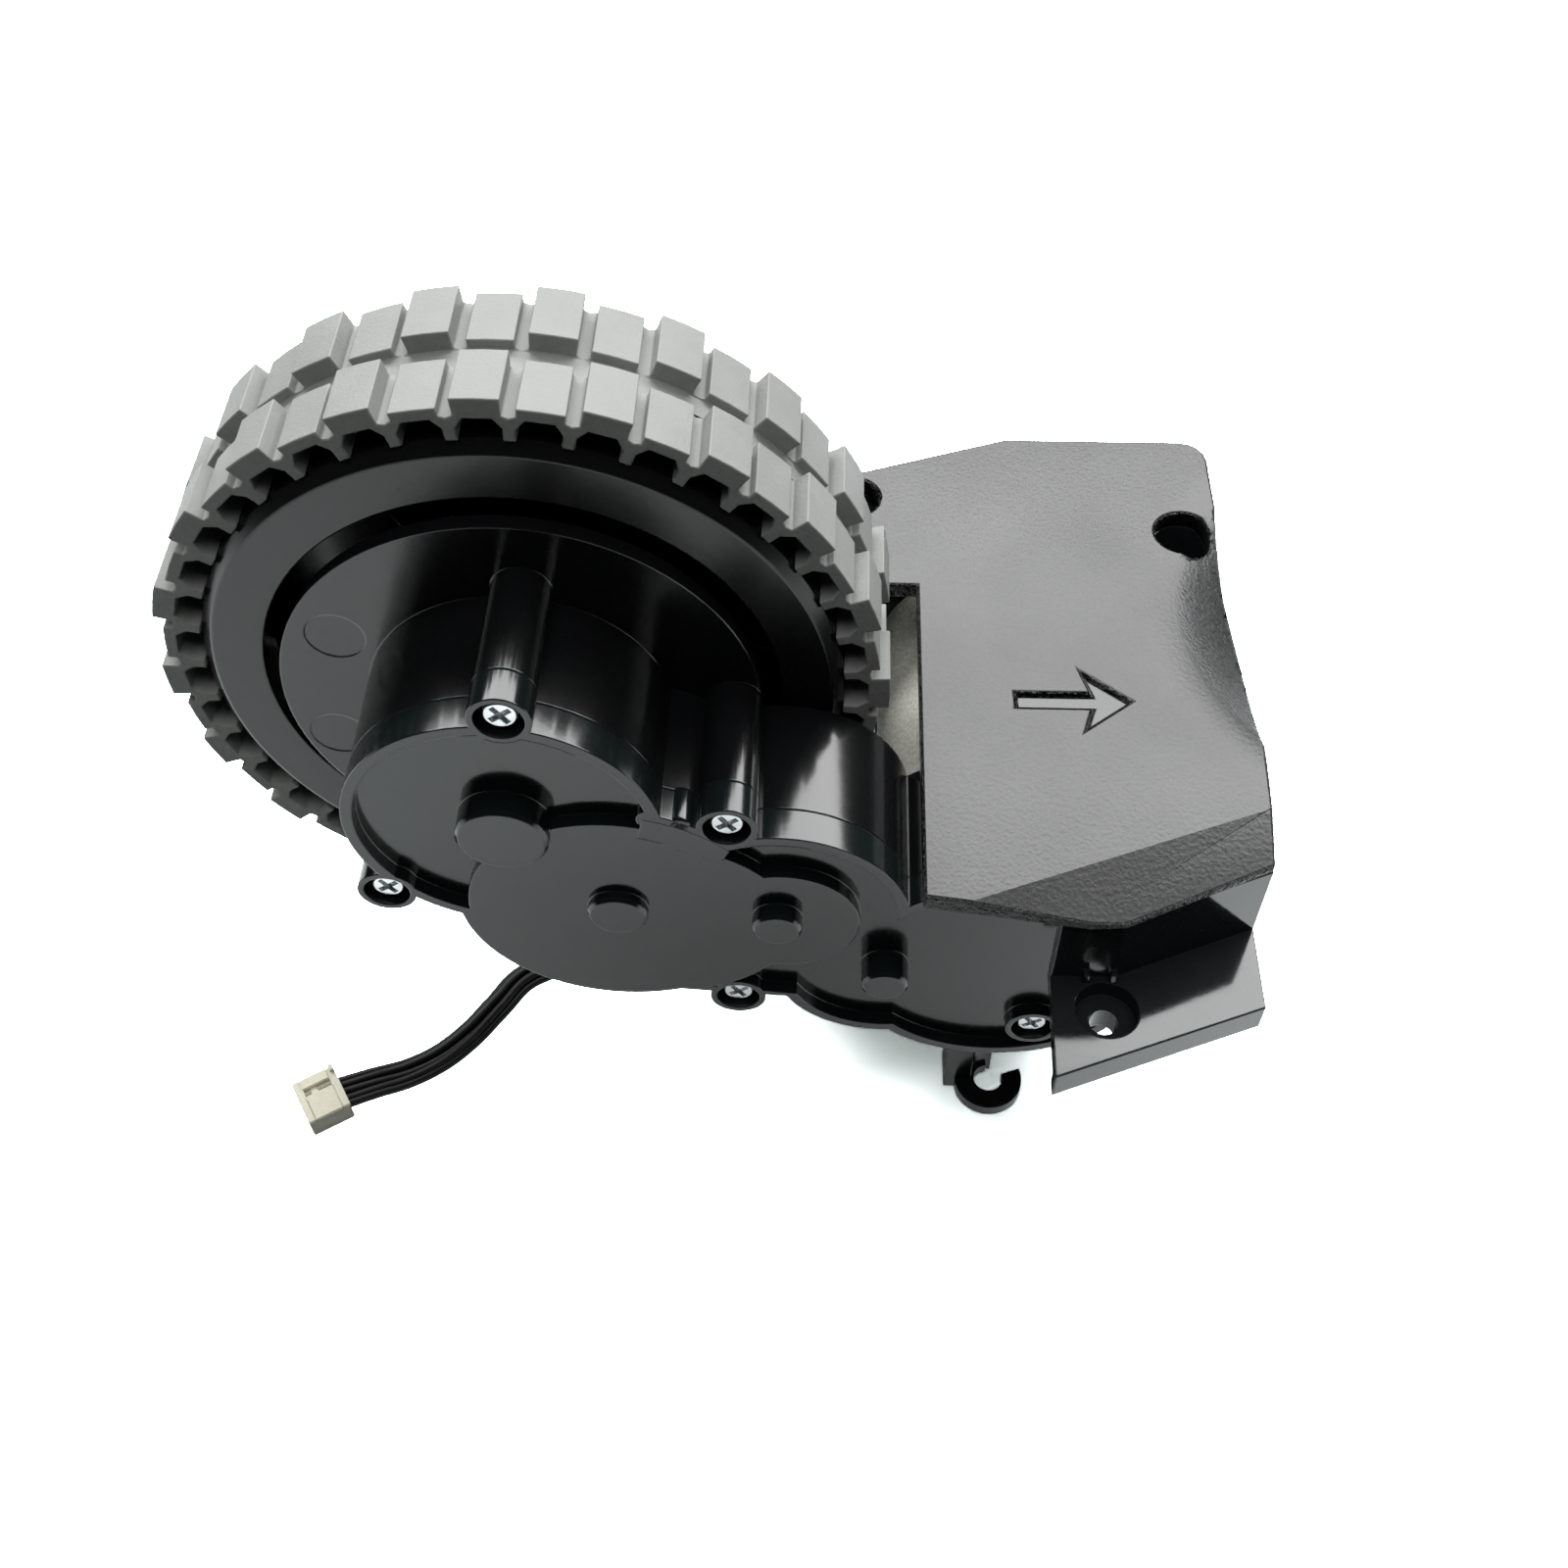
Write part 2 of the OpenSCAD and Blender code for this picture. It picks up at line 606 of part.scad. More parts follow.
// Gearbox housing: the arm's rear shell with its pivot sleeve, wheel disc and cable hook
hook_at = [48, -13.6];
hook_z = -50;
hook_r = 3.8;
hook_t = 1.6;
hook_l = 14;

module cable_hook() {
    // A post with a hollow inner face, and an open ring at its foot
    difference() {
        translate([hook_at.x - hook_r - 1.2, part_y, hook_z - hook_t])
            cube([5.4, 4, hook_l + hook_t]);
        translate([hook_at.x, hook_at.y, hook_z - hook_t - 1])
            cylinder(r = hook_r - 1.8, h = hook_l);
    }
    translate([hook_at.x, hook_at.y, hook_z - hook_t]) difference() {
        cylinder(r = hook_r, h = hook_t);
        translate([0, 0, -1]) cylinder(r = hook_r - 2.2, h = hook_t + 2);
        translate([0, 0, -1]) linear_extrude(height = hook_t + 2)
            polygon([[0, 0], 8 * dir(20), 10 * dir(55), 8 * dir(95)]);
    }
}

module pivot_arm() {
    rod(P, sleeve_r, sleeve_y[0], sleeve_y[1]);
    rod(P, spring_r - spring_wire / 2 - 0.35, back_y - eps, spring_y[1] + 0.2);
    slab(sleeve_y[0], sleeve_y[1]) polygon([[flat_x - 1, P.y + sleeve_r + 5], P + [0, sleeve_r],
        P - [0, sleeve_r], [flat_x - 1, P.y - sleeve_r - 3]]);
    // Lug that the spring's front leg lifts
    rod(lug_xz, 1, back_y - 0.5, spring_y[0] + spring_wire + 0.2);
}

module gearbox_housing() color("#0d0e10") place() difference() {
    union() {
        difference() {
            union() {
                slab(part_y, back_y) shell_outline();
                rod(A, disc_r, back_y - 0.6, disc_y);
                rod(A, shaft_d / 2 + 4.6, back_y - 1, collar_y);
            }
            difference() {
                slab(part_y - 1, wall_in_y) gearbox_outline(housing_wall);
                for (s = cover_screw_at) rod(s, screw_boss_r - 0.4, part_y - 2, wall_in_y + 1);
                for (p = [B, C, D]) rod(p, pin_d / 2 + 1, wall_in_y - 0.6, wall_in_y + 1);
            }
        }
        pivot_arm();
        cable_hook();
    }
    // Seat of the rear bearing and the way of the output shaft
    rod(A, shaft_d / 2 + 3 + seat_gap, wall_in_y - eps, collar_y - 1);
    rod(A, shaft_d / 2 + 1, wall_in_y - 1, collar_y + 1);
    for (p = [B, C, D]) rod(p, pin_d / 2 + seat_gap, wall_in_y - 2, back_y - 0.4);
    for (s = cover_screw_at) rod(s, screw_r + seat_gap, part_y - 1, part_y + screw_l);
    // Seat of the motor's boss and its two screws
    rod(M, boss_r + seat_gap, wall_in_y - 1, back_y + 1);
    for (a = motor_screw_a)
        rod(M + motor_screw_pitch / 2 * dir(a), screw_r + 0.15, wall_in_y - 1, back_y + 1);
    rod(P, pivot_d / 2 + run_gap, sleeve_y[0] - 1, spring_y[1] + 2);
    // Round marks of the mould's pins on the disc's front
    for (p = [[-16.3, 8.9], [-18.8, -5]]) rod(p, 2.8, back_y - 1, back_y - 0.5);
}

// Gear cover
module gear_cover() color("#121417") place() difference() {
    union() {
        difference() {
            slab(rim_y, part_y) shell_outline();
            // Sunk floors beside the dome, inside the rim
            slab(rim_y - 1, floor_y) difference() {
                gearbox_outline(rim_w);
                for (d = dome_discs) disc(d[0], d[1]);
                for (s = cover_screw_at) disc(s, screw_boss_r);
            }
            // Hollow behind the floors and the dome
            slab(floor_in_y, part_y + 1) difference() {
                gearbox_outline(housing_wall + spigot_t);
                for (s = cover_screw_at) disc(s, screw_boss_r);
            }
            slab(dome_in_y, part_y + 1) dome_room();
        }
        // Spigot that centres the cover in the rear shell
        slab(part_y - eps, part_y + 1) difference() {
            gearbox_outline(housing_wall + 0.1);
            gearbox_outline(housing_wall + spigot_t);
            for (s = cover_screw_at) disc(s, screw_boss_r);
        }
        stub(stub_a[0], stub_a[1], rim_y - stub_a[2], floor_y + eps);
        stub(stub_b[0], stub_b[1], rim_y - stub_b[2], rim_y + eps);
        stub(stub_c[0], stub_c[1], rim_y - stub_c[2], rim_y + eps);
        stub(stub_d[0], stub_d[1], rim_y - stub_d[2], floor_y + eps);
    }
    rod(A, bush_r + seat_gap, rim_y - stub_a[2] + 0.8, part_y);
    rod(B, pin_d / 2 + seat_gap, rim_y - stub_b[2] + 1, part_y);
    rod(C, pin_d / 2 + seat_gap, rim_y - stub_c[2] + 1, part_y);
    rod(D, pin_d / 2 + seat_gap, rim_y - stub_d[2] + 1, part_y);
    for (s = cover_screw_at) {
        rod(s, counterbore_r, rim_y - 1, rim_y + counterbore_d);
        rod(s, screw_r + 0.15, rim_y, part_y + 1);
    }
}

module gear_cover_screws() color("#cfd2d6") place() for (s = cover_screw_at)
    translate([s.x, rim_y + counterbore_d, s.y]) rotate([90, 0, 0])
        rotate(35) small_screw(screw_l + cover_side - counterbore_d - 0.6);

module shaft_bush_front() color("#b08d57") place() difference() {
    rod(A, bush_r, rim_y - stub_a[2] + 0.9, dome_in_y);
    rod(A, shaft_d / 2 + run_gap, rim_y - stub_a[2], dome_in_y + 1);
}

// Ball bearing, as one closed unit: rings with a recessed shield between them
module shaft_bearing_rear() color("#c4c8cc") place() difference() {
    rod(A, shaft_d / 2 + 3, wall_in_y, collar_y - 1);
    rod(A, shaft_d / 2 + run_gap, wall_in_y - 1, collar_y);
    for (y = [[wall_in_y - 1, wall_in_y + 0.25], [collar_y - 1.25, collar_y]]) difference() {
        rod(A, shaft_d / 2 + 2.2, y[0], y[1]);
        rod(A, shaft_d / 2 + 0.9, y[0] - 1, y[1] + 1);
    }
}

module axle_pin(c, far) color("#b9bdc2") place()
    rod(c, pin_d / 2, far, back_y - 0.5);
module axle_pin_b() axle_pin(B, rim_y - stub_b[2] + 1.1);
module axle_pin_c() axle_pin(C, rim_y - stub_c[2] + 1.1);
module axle_pin_d() axle_pin(D, rim_y - stub_d[2] + 1.1);

// Motor
module motor_can() color("#b7b4a8") place() difference() {
    union() {
        stub(M, can_r, back_y, can_back, 0.6);
        rod(M, boss_r, back_y - boss_l, back_y + eps);
    }
    rod(M, can_r - can_wall, back_y + can_wall, can_back + 1);
    rod(M, rotor_r + run_gap, back_y - 3, back_y + 3);
    for (a = motor_screw_a)
        rod(M + motor_screw_pitch / 2 * dir(a), screw_r + seat_gap, back_y - 1, back_y + 3);
}

module motor_end_cap() color("#1b1d20") place() difference() {
    union() {
        rod(M, can_r, can_back, can_back + cap_t);
        rod(M, can_r - can_wall - seat_gap, can_back - 1.5, can_back + eps);
        rod(M, boss_r, can_back - 1.5, can_back + cap_t + 0.6);
    }
    rod(M, rotor_r + run_gap, can_back - 3, can_back + cap_t + 2);
}

module field_magnets() color("#4a4d52") place() slab(back_y + 4, can_back - 5) difference() {
    disc(M, can_r - can_wall - seat_gap);
    disc(M, magnet_in_r);
    for (a = [90, 270]) polygon([M, M + 30 * dir(a - 14), M + 30 * dir(a + 14)]);
}

// Carbon brushes on leaves that stand on the end cap
module brushes() color("#3b3430") place() translate([M.x, 0, M.y]) for (a = [0, 180])
    rotate([0, a, 0]) {
        translate([2.9, can_back - 4.2, -1.2]) cube([2.8, 1.8, 2.4]);
        translate([5.6, can_back - 4.2, -1.4]) cube([0.5, 2.7, 2.8]);
    }

module motor_screws() color("#c9ccd0") place() for (a = motor_screw_a) {
    s = M + motor_screw_pitch / 2 * dir(a);
    translate([s.x, wall_in_y, s.y]) rotate([90, 0, 0]) small_screw(housing_wall + 1.6, 1.7, 1);
}

module encoder_board() color("#2f6b3a") place() difference() {
    slab(board_y, board_y + board_t) {
        disc(M, 8);
        translate(M - [5, 13.5]) square([13, 10]);
    }
    rod(M, boss_r + 0.15, board_y - 1, board_y + board_t + 1);
}

module board_header() color("#e6e2d4") place()
    translate([header_at.x - header_l / 2, board_y + board_t, header_at.z - 2])
        cube([header_l, header_h, 4]);

// Harness: the wires lie close together and fan out into the plug
wires_path = smooth(route, 4);
function fan(i) = let (t = i / (len(wires_path) - 1), w = bundle_neck + (1 - bundle_neck)
    * max((t - 0.72) / 0.28, 0)) [w * bundle_w / 2, bundle_t / 2];

module harness_wires() color("#0a0a0b") place()
    swept(wires_path, flat_section(1, 8), [0, 0, 1], [for (i = [0:len(wires_path) - 1]) fan(i)]);

module harness_plug() color("#e9e5d6") place()
    translate(route[len(route) - 1]) rotate([0, 0, plug_turn]) difference() {
        translate([-plug_l - 0.1, -plug_w / 2, -plug_h / 2 + 0.2]) cube([plug_l, plug_w, plug_h]);
        // Lock window on the top, and the mouths of the five contacts
        translate([-plug_l + 1, plug_w / 2 - 2.2, plug_h / 2 - 0.4]) cube([2.6, 0.7, 2]);
        for (k = [-2:2]) translate([-plug_l - 1, k * 1.1 - 0.3, -0.4]) cube([2.4, 0.6, 1]);
    }

// Wheel
module tread_row(turn) difference() {
    polygon([for (k = [0:2 * block_pairs - 1]) let (a = k * pitch_a + turn,
        r = k % 2 == 0 ? tall_r : low_r, half = pitch_a * block_fill / 2) each [
            on_circle(groove_r, a - pitch_a / 2), on_circle(groove_r + 0.2, a - half),
            on_circle(r, a - half), on_circle(r, a), on_circle(r, a + half),
            on_circle(groove_r + 0.2, a + half)]]);
    rib_half = rib_t / 2 / drum_r * 180 / PI;
    polygon([for (k = [0:2 * block_pairs - 1]) let (a = k * pitch_a + turn,
        half = pitch_a / 2 - rib_half) each [
            on_circle(drum_r + seat_gap, a - half), on_circle(pocket_r - 1, a - half),
            on_circle(pocket_r, a - half * 0.6), on_circle(pocket_r, a + half * 0.6),
            on_circle(pocket_r - 1, a + half), on_circle(drum_r + seat_gap, a + half)]]);
}

module tyre() color("#8f9391") place() {
    slab(0, front_row_w) tread_row(0);
    slab(front_row_w + channel_w, tyre_w) tread_row(pitch_a);
    // The channel's floor, with a web that seats on the drum
    difference() {
        rod(A, groove_r, front_row_w - eps, front_row_w + channel_w + eps);
        rod(A, pocket_r - 0.6, front_row_w - 1, channel_y - web_half);
        rod(A, pocket_r - 0.6, channel_y + web_half, front_row_w + channel_w + 1);
        rod(A, drum_r + seat_gap, 0, tyre_w);
    }
}

hub_boss_r = shaft_d / 2 + 4;
hub_boss_y = collar_y + 0.6;
web_y = hub_back - 5;
hub_seat_y = web_y + 2;
module wheel_hub() color("#0b0c0d") place() difference() {
    union() {
        // Drum with the flat ring and the inner lip
        turned() polygon([[drum_r, 0.6], [drum_r, hub_back], [drum_r - hub_wall, hub_back],
            [drum_r - hub_wall, hub_front + hub_wall], [ring_in_r + hub_wall, hub_front + hub_wall],
            [ring_in_r + hub_wall, 4], [ring_in_r, 4], [ring_in_r, hub_front],
            [drum_r - 1.1, hub_front]]);
        rod(A, drum_r - eps, web_y, web_y + hub_wall);
        rod(A, hub_boss_r, hub_boss_y, web_y + eps);
        rod(A, hub_boss_r + 1.5, web_y, hub_back);
        // Ribs between the boss and the drum, inside and outside the web
        for (k = [0:hub_ribs - 1]) rotate([0, -k * 360 / hub_ribs, 0]) {
            translate([hub_boss_r - 1, 5, -0.8]) cube([drum_r - hub_boss_r - 0.5, web_y - 5 + eps, 1.6]);
            translate([hub_boss_r, web_y + eps, -1.2]) cube([drum_r - hub_boss_r - 1,
                hub_back - web_y - 0.8, 2.4]);
        }
    }
    // Bore with a flat, and the well of the retaining screw
    difference() {
        rod(A, shaft_d / 2 + seat_gap, hub_boss_y - 1, web_y + 0.6);
        translate([-shaft_d, hub_boss_y - 2, shaft_d / 2 - 0.5 + seat_gap])
            cube([2 * shaft_d, web_y, shaft_d]);
    }
    rod(A, 1.6, web_y - 1, hub_back + 1);
    rod(A, 3.4, hub_seat_y, hub_back + 1);
}

shaft_end_y = web_y + 0.4;
module output_shaft() color("#c2c6ca") place() difference() {
    rod(A, shaft_d / 2, rim_y - stub_a[2] + 1, shaft_end_y);
    // Flat that drives the hub
    translate([-shaft_d, hub_boss_y - 0.3, shaft_d / 2 - 0.5]) cube([2 * shaft_d, 20, shaft_d]);
    rod(A, 1.25, shaft_end_y - 6, shaft_end_y + 1);
}

module hub_screw() color("#cfd2d6") place() difference() {
    union() {
        rod(A, 2.9, hub_seat_y + seat_gap, hub_seat_y + 1.5);
        rod(A, 1.23, shaft_end_y - 5.5, hub_seat_y + 1);
    }
    for (a = [0, 90]) rotate([0, a, 0]) translate([-1.7, hub_seat_y + 0.8, -0.3]) cube([3.4, 3, 0.6]);
}

// Gears
module output_gear() color("#d8d4c6") place() {
    difference() {
        union() {
            slab(out_level[0], out_level[1]) gear2d(out_teeth, slow_module, phase_a);
            rod(A, shaft_d / 2 + 2, dome_level[1] + side_gap, wall_in_y - side_gap);
        }
        rod(A, shaft_d / 2 + seat_gap, rim_y, 0);
    }
}

module gear_b() color("#d9d6ca") place() difference() {
    union() {
        slab(dome_level[0], dome_level[1]) translate(B) gear2d(b_teeth, slow_module, phase_b);
        slab(b_pinion_level[0], b_pinion_level[1])
            translate(B) gear2d(b_pinion_teeth, slow_module, phase_b_pinion);
        rod(B, 3.2, dome_level[1] - eps, b_pinion_level[0] + eps);
    }
    rod(B, pin_d / 2 + run_gap, rim_y, 0);
}

module gear_c() color("#d9d6ca") place() difference() {
    union() {
        slab(c_level[0], c_level[1]) translate(C) gear2d(c_teeth, mid_module, phase_c);
        slab(dome_level[0], dome_level[1])
            translate(C) gear2d(c_pinion_teeth, slow_module, phase_c_pinion);
        rod(C, 2.9, dome_level[1] - eps, c_level[0] + eps);
        rod(C, 2.2, c_level[1] - eps, d_level[1]);
    }
    rod(C, pin_d / 2 + run_gap, rim_y, 0);
}

module gear_d() color("#d9d6ca") place() difference() {
    union() {
        slab(d_level[0], d_level[1]) translate(D) gear2d(d_teeth, fast_module, phase_d);
        slab(d_pinion_level[0], d_pinion_level[1] + eps)
            translate(D) gear2d(d_pinion_teeth, mid_module, phase_d_pinion);
        rod(D, 2.2, floor_in_y + gear_gap, d_pinion_level[0] + eps);
    }
    rod(D, pin_d / 2 + run_gap, rim_y, 0);
}

// Rotor
magnet_in_r = can_r - can_wall - 2;
core_r = magnet_in_r - side_gap;
core_y = [back_y + 6.5, can_back - 7.3];
poles = 5;
arm_w = 2.6;

module rotor_shaft() color("#c2c6ca") place()
    rod(M, rotor_r, motor_level[0] - 0.3, board_y + board_t + 2.6);

module motor_pinion() color("#c9a24a") place() difference() {
    slab(motor_level[0], motor_level[1]) translate(M) gear2d(motor_teeth, fast_module, phase_motor);
    rod(M, rotor_r + seat_gap, motor_level[0] - 1, motor_level[1] + 1);
}

module pole_arms(w) for (k = [0:poles - 1]) rotate(k * 360 / poles) translate([0, -w / 2])
    square([core_r - 1, w]);

module armature_core() color("#8b8f94") place() slab(core_y[0], core_y[1]) translate(M)
    difference() {
        union() {
            circle(r = 3.4);
            pole_arms(arm_w);
            difference() {
                circle(r = core_r);
                circle(r = core_r - 1.4);
                for (k = [0:poles - 1]) rotate((k + 0.5) * 360 / poles) translate([0, -0.6])
                    square([20, 1.2]);
            }
        }
        circle(r = rotor_r + seat_gap);
    }

module armature_windings() color("#a4572c") place() translate([M.x, 0, M.y]) {
    end_t = 1.8;
    slab(core_y[0] - eps, core_y[1] + eps) difference() {
        circle(r = core_r - 1.6);
        circle(r = 3.6);
        pole_arms(arm_w + 0.2);
    }
    for (y = [core_y[0] - end_t, core_y[1]]) slab(y, y + end_t) difference() {
        circle(r = core_r - 1.8);
        circle(r = 3.6);
    }
}

module commutator() color("#b4713a") place() translate([M.x, 0, M.y])
    slab(core_y[1] + 2.4, can_back - 2) difference() {
        circle(r = 2.8);
        circle(r = rotor_r + seat_gap);
        for (k = [0:poles - 1]) rotate(k * 360 / poles) translate([2.2, -0.15]) square([2, 0.3]);
    }

module encoder_magnet() color("#3a3c40") place() difference() {
    rod(M, 4.5, board_y + board_t + 0.7, board_y + board_t + 2.6);
    rod(M, rotor_r + seat_gap, board_y, board_y + board_t + 4);
}

frame();
surface_cover();
cover_screws();
pivot_pin();
pin_clip();
torsion_spring();
gearbox_housing();
gear_cover();
gear_cover_screws();
shaft_bush_front();
shaft_bearing_rear();
axle_pin_b();
axle_pin_c();
axle_pin_d();
motor_can();
motor_end_cap();
field_magnets();
brushes();
motor_screws();
encoder_board();
board_header();
harness_wires();
harness_plug();
tyre();
wheel_hub();
output_shaft();
output_gear();
hub_screw();
gear_b();
gear_c();
gear_d();
rotor_shaft();
motor_pinion();
armature_core();
armature_windings();
commutator();
encoder_magnet();
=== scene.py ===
"""Looks of a robot vacuum's drive wheel module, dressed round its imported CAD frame.

The camera, the cable and the finishes are placed in the CAD's own frame, in metres. Places are
given in millimetres about the wheel's axis, as the part's source gives them, and at() moves them
to the row frame: X runs along the arm, Y along the axle and Z out of the robot's underside.
"""

import json
import logging
import math
from dataclasses import dataclass
from enum import Enum
from typing import Callable, Iterable, Sequence

import bmesh
import bpy
from mathutils import Matrix, Vector


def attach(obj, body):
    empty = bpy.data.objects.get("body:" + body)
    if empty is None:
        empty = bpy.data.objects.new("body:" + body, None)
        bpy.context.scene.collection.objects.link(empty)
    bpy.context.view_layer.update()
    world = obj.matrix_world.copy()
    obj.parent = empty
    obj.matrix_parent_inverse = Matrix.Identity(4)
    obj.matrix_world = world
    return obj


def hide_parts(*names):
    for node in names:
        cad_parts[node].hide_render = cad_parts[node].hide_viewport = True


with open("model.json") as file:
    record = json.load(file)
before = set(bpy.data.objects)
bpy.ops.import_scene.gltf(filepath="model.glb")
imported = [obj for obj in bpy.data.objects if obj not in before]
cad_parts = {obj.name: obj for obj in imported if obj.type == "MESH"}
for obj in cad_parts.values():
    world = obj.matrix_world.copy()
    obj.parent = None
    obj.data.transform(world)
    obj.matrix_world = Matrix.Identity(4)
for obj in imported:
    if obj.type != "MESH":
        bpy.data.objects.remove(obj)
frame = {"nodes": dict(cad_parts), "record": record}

log = logging.getLogger("wheel_module")
logging.basicConfig(level=logging.INFO, format="%(name)s: %(message)s")

MM = 0.001

# The row frame's origin, in millimetres about the wheel's axis
ROW_ORIGIN = Vector((18.5, 6.5, -52.5))
# Height of the surface cover's top face in the row frame, in metres
PLATE_TOP = 46.5 * MM

# How near two points have to lie to be joined, in metres
WELD = 0.002 * MM
SKIN_WELD = 0.001 * MM

Color = tuple[float, float, float]
Point = tuple[float, float, float]
Socket = bpy.types.NodeSocket
Feed = bpy.types.NodeSocket | float
Filler = Callable[[bmesh.types.BMesh], None]


def at(x: float, y: float, z: float) -> Vector:
    """A place given in millimetres about the wheel's axis.

    Args:
        x, y, z: The place, in millimetres.

    Returns:
        The place in the row frame, in metres.
    """
    return (Vector((x, y, z)) - ROW_ORIGIN) * MM


@dataclass(frozen=True)
class Viewpoint:
    """Where the photograph was taken from.

    Attributes:
        place: The lens, in millimetres about the wheel's axis.
        azimuth: Degrees to the right of straight in front.
        elevation: Degrees above the table.
        roll: Degrees that the camera leans to the left.
        lens: Focal length on a 36 mm sensor, in millimetres.
    """

    place: Point
    azimuth: float
    elevation: float
    roll: float
    lens: float

    def axes(self) -> Matrix:
        """Works out how the camera is turned.

        Returns:
            Its right, up and backward directions as the columns of a matrix.
        """
        turn = Matrix.Rotation(math.radians(self.azimuth), 3, "Z")
        tilt = Matrix.Rotation(math.radians(90 - self.elevation), 3, "X")
        lean = Matrix.Rotation(math.radians(self.roll), 3, "Z")
        return turn @ tilt @ lean


PHOTO_VIEW = Viewpoint((29.19, -109.83, 125.13), 2.335, 51.74, -0.657, 39.8)


def make_camera(view: Viewpoint) -> bpy.types.Object:
    """Sets up the scene's camera.

    Args:
        view: The viewpoint to take.

    Returns:
        The camera object.
    """
    data = bpy.data.cameras.new("camera")
    data.sensor_width = 36
    data.lens = view.lens
    data.clip_start = 0.01
    camera = bpy.data.objects.new("camera", data)
    bpy.context.scene.collection.objects.link(camera)
    camera.matrix_world = Matrix.Translation(at(*view.place)) @ view.axes().to_4x4()
    bpy.context.scene.camera = camera
    return camera


# Meshes


def add_mesh(name: str, build: Filler, smooth: bool = True) -> bpy.types.Object:
    """Makes a mesh object from a function that fills a bmesh.

    Args:
        name: The object's name.
        build: Fills the bmesh it is given.
        smooth: Whether its faces are shaded smooth.

    Returns:
        The new object, linked to the scene.
    """
    mesh = bpy.data.meshes.new(name)
    bm = bmesh.new()
    build(bm)
    bmesh.ops.remove_doubles(bm, verts=bm.verts, dist=WELD)
    bmesh.ops.recalc_face_normals(bm, faces=bm.faces)
    for face in bm.faces:
        face.smooth = smooth
    bm.to_mesh(mesh)
    bm.free()
    obj = bpy.data.objects.new(name, mesh)
    bpy.context.scene.collection.objects.link(obj)
    return obj


def places_along(path: Sequence[Vector], up: Vector) -> list[Matrix]:
    """Places and directions along a path, for sweeping sections.

    Args:
        path: The points of the path.
        up: The direction that the sections keep upwards.

    Returns:
        For each point, a matrix whose columns are the ways across, up and back, and the point.
    """
    places = []
    for i, point in enumerate(path):
        along = path[min(i + 1, len(path) - 1)] - path[max(i - 1, 0)]
        across = along.cross(up).normalized()
        over = across.cross(along).normalized()
        turn = Matrix((across, over, across.cross(over))).transposed()
        places.append(Matrix.Translation(point) @ turn.to_4x4())
    return places


def sweep_disc(bm: bmesh.types.BMesh, places: Sequence[Matrix], sides: int) -> None:
    """Sweeps a disc of radius 1 through a row of places. Both ends are closed.

    Args:
        bm: The mesh to add to.
        places: The disc's places, each with its size.
        sides: Sides of the disc.
    """
    made = bmesh.ops.create_circle(bm, cap_ends=True, segments=sides, radius=1.0, matrix=places[0])
    start = end = made["verts"][0].link_faces[0]
    for last, place in zip(places, places[1:]):
        grown = bmesh.ops.extrude_face_region(bm, geom=[end])["geom"]
        # The extrusion leaves the disc that it starts from, which only the first place keeps
        if end is not start:
            bmesh.ops.delete(bm, geom=[end], context="FACES_ONLY")
        end = next(part for part in grown if isinstance(part, bmesh.types.BMFace))
        bmesh.ops.transform(bm, matrix=place @ last.inverted(), verts=list(end.verts))


def smooth_path(points: Sequence[Vector], steps: int) -> list[Vector]:
    """A curve through points, as the part's source draws it.

    Args:
        points: The points, in order.
        steps: Spans of the curve from one point to the next.

    Returns:
        The curve's points.
    """
    out = []
    last = len(points) - 1
    for i in range(last):
        a, b = points[max(i - 1, 0)], points[i]
        c, d = points[i + 1], points[min(i + 2, last)]
        for s in range(steps):
            t = s / steps
            out.append(0.5 * (2 * b + (c - a) * t + (2 * a - 5 * b + 4 * c - d) * t**2
                              + (3 * b - a - 3 * c + d) * t**3))
    return [*out, points[last]]


# Cable


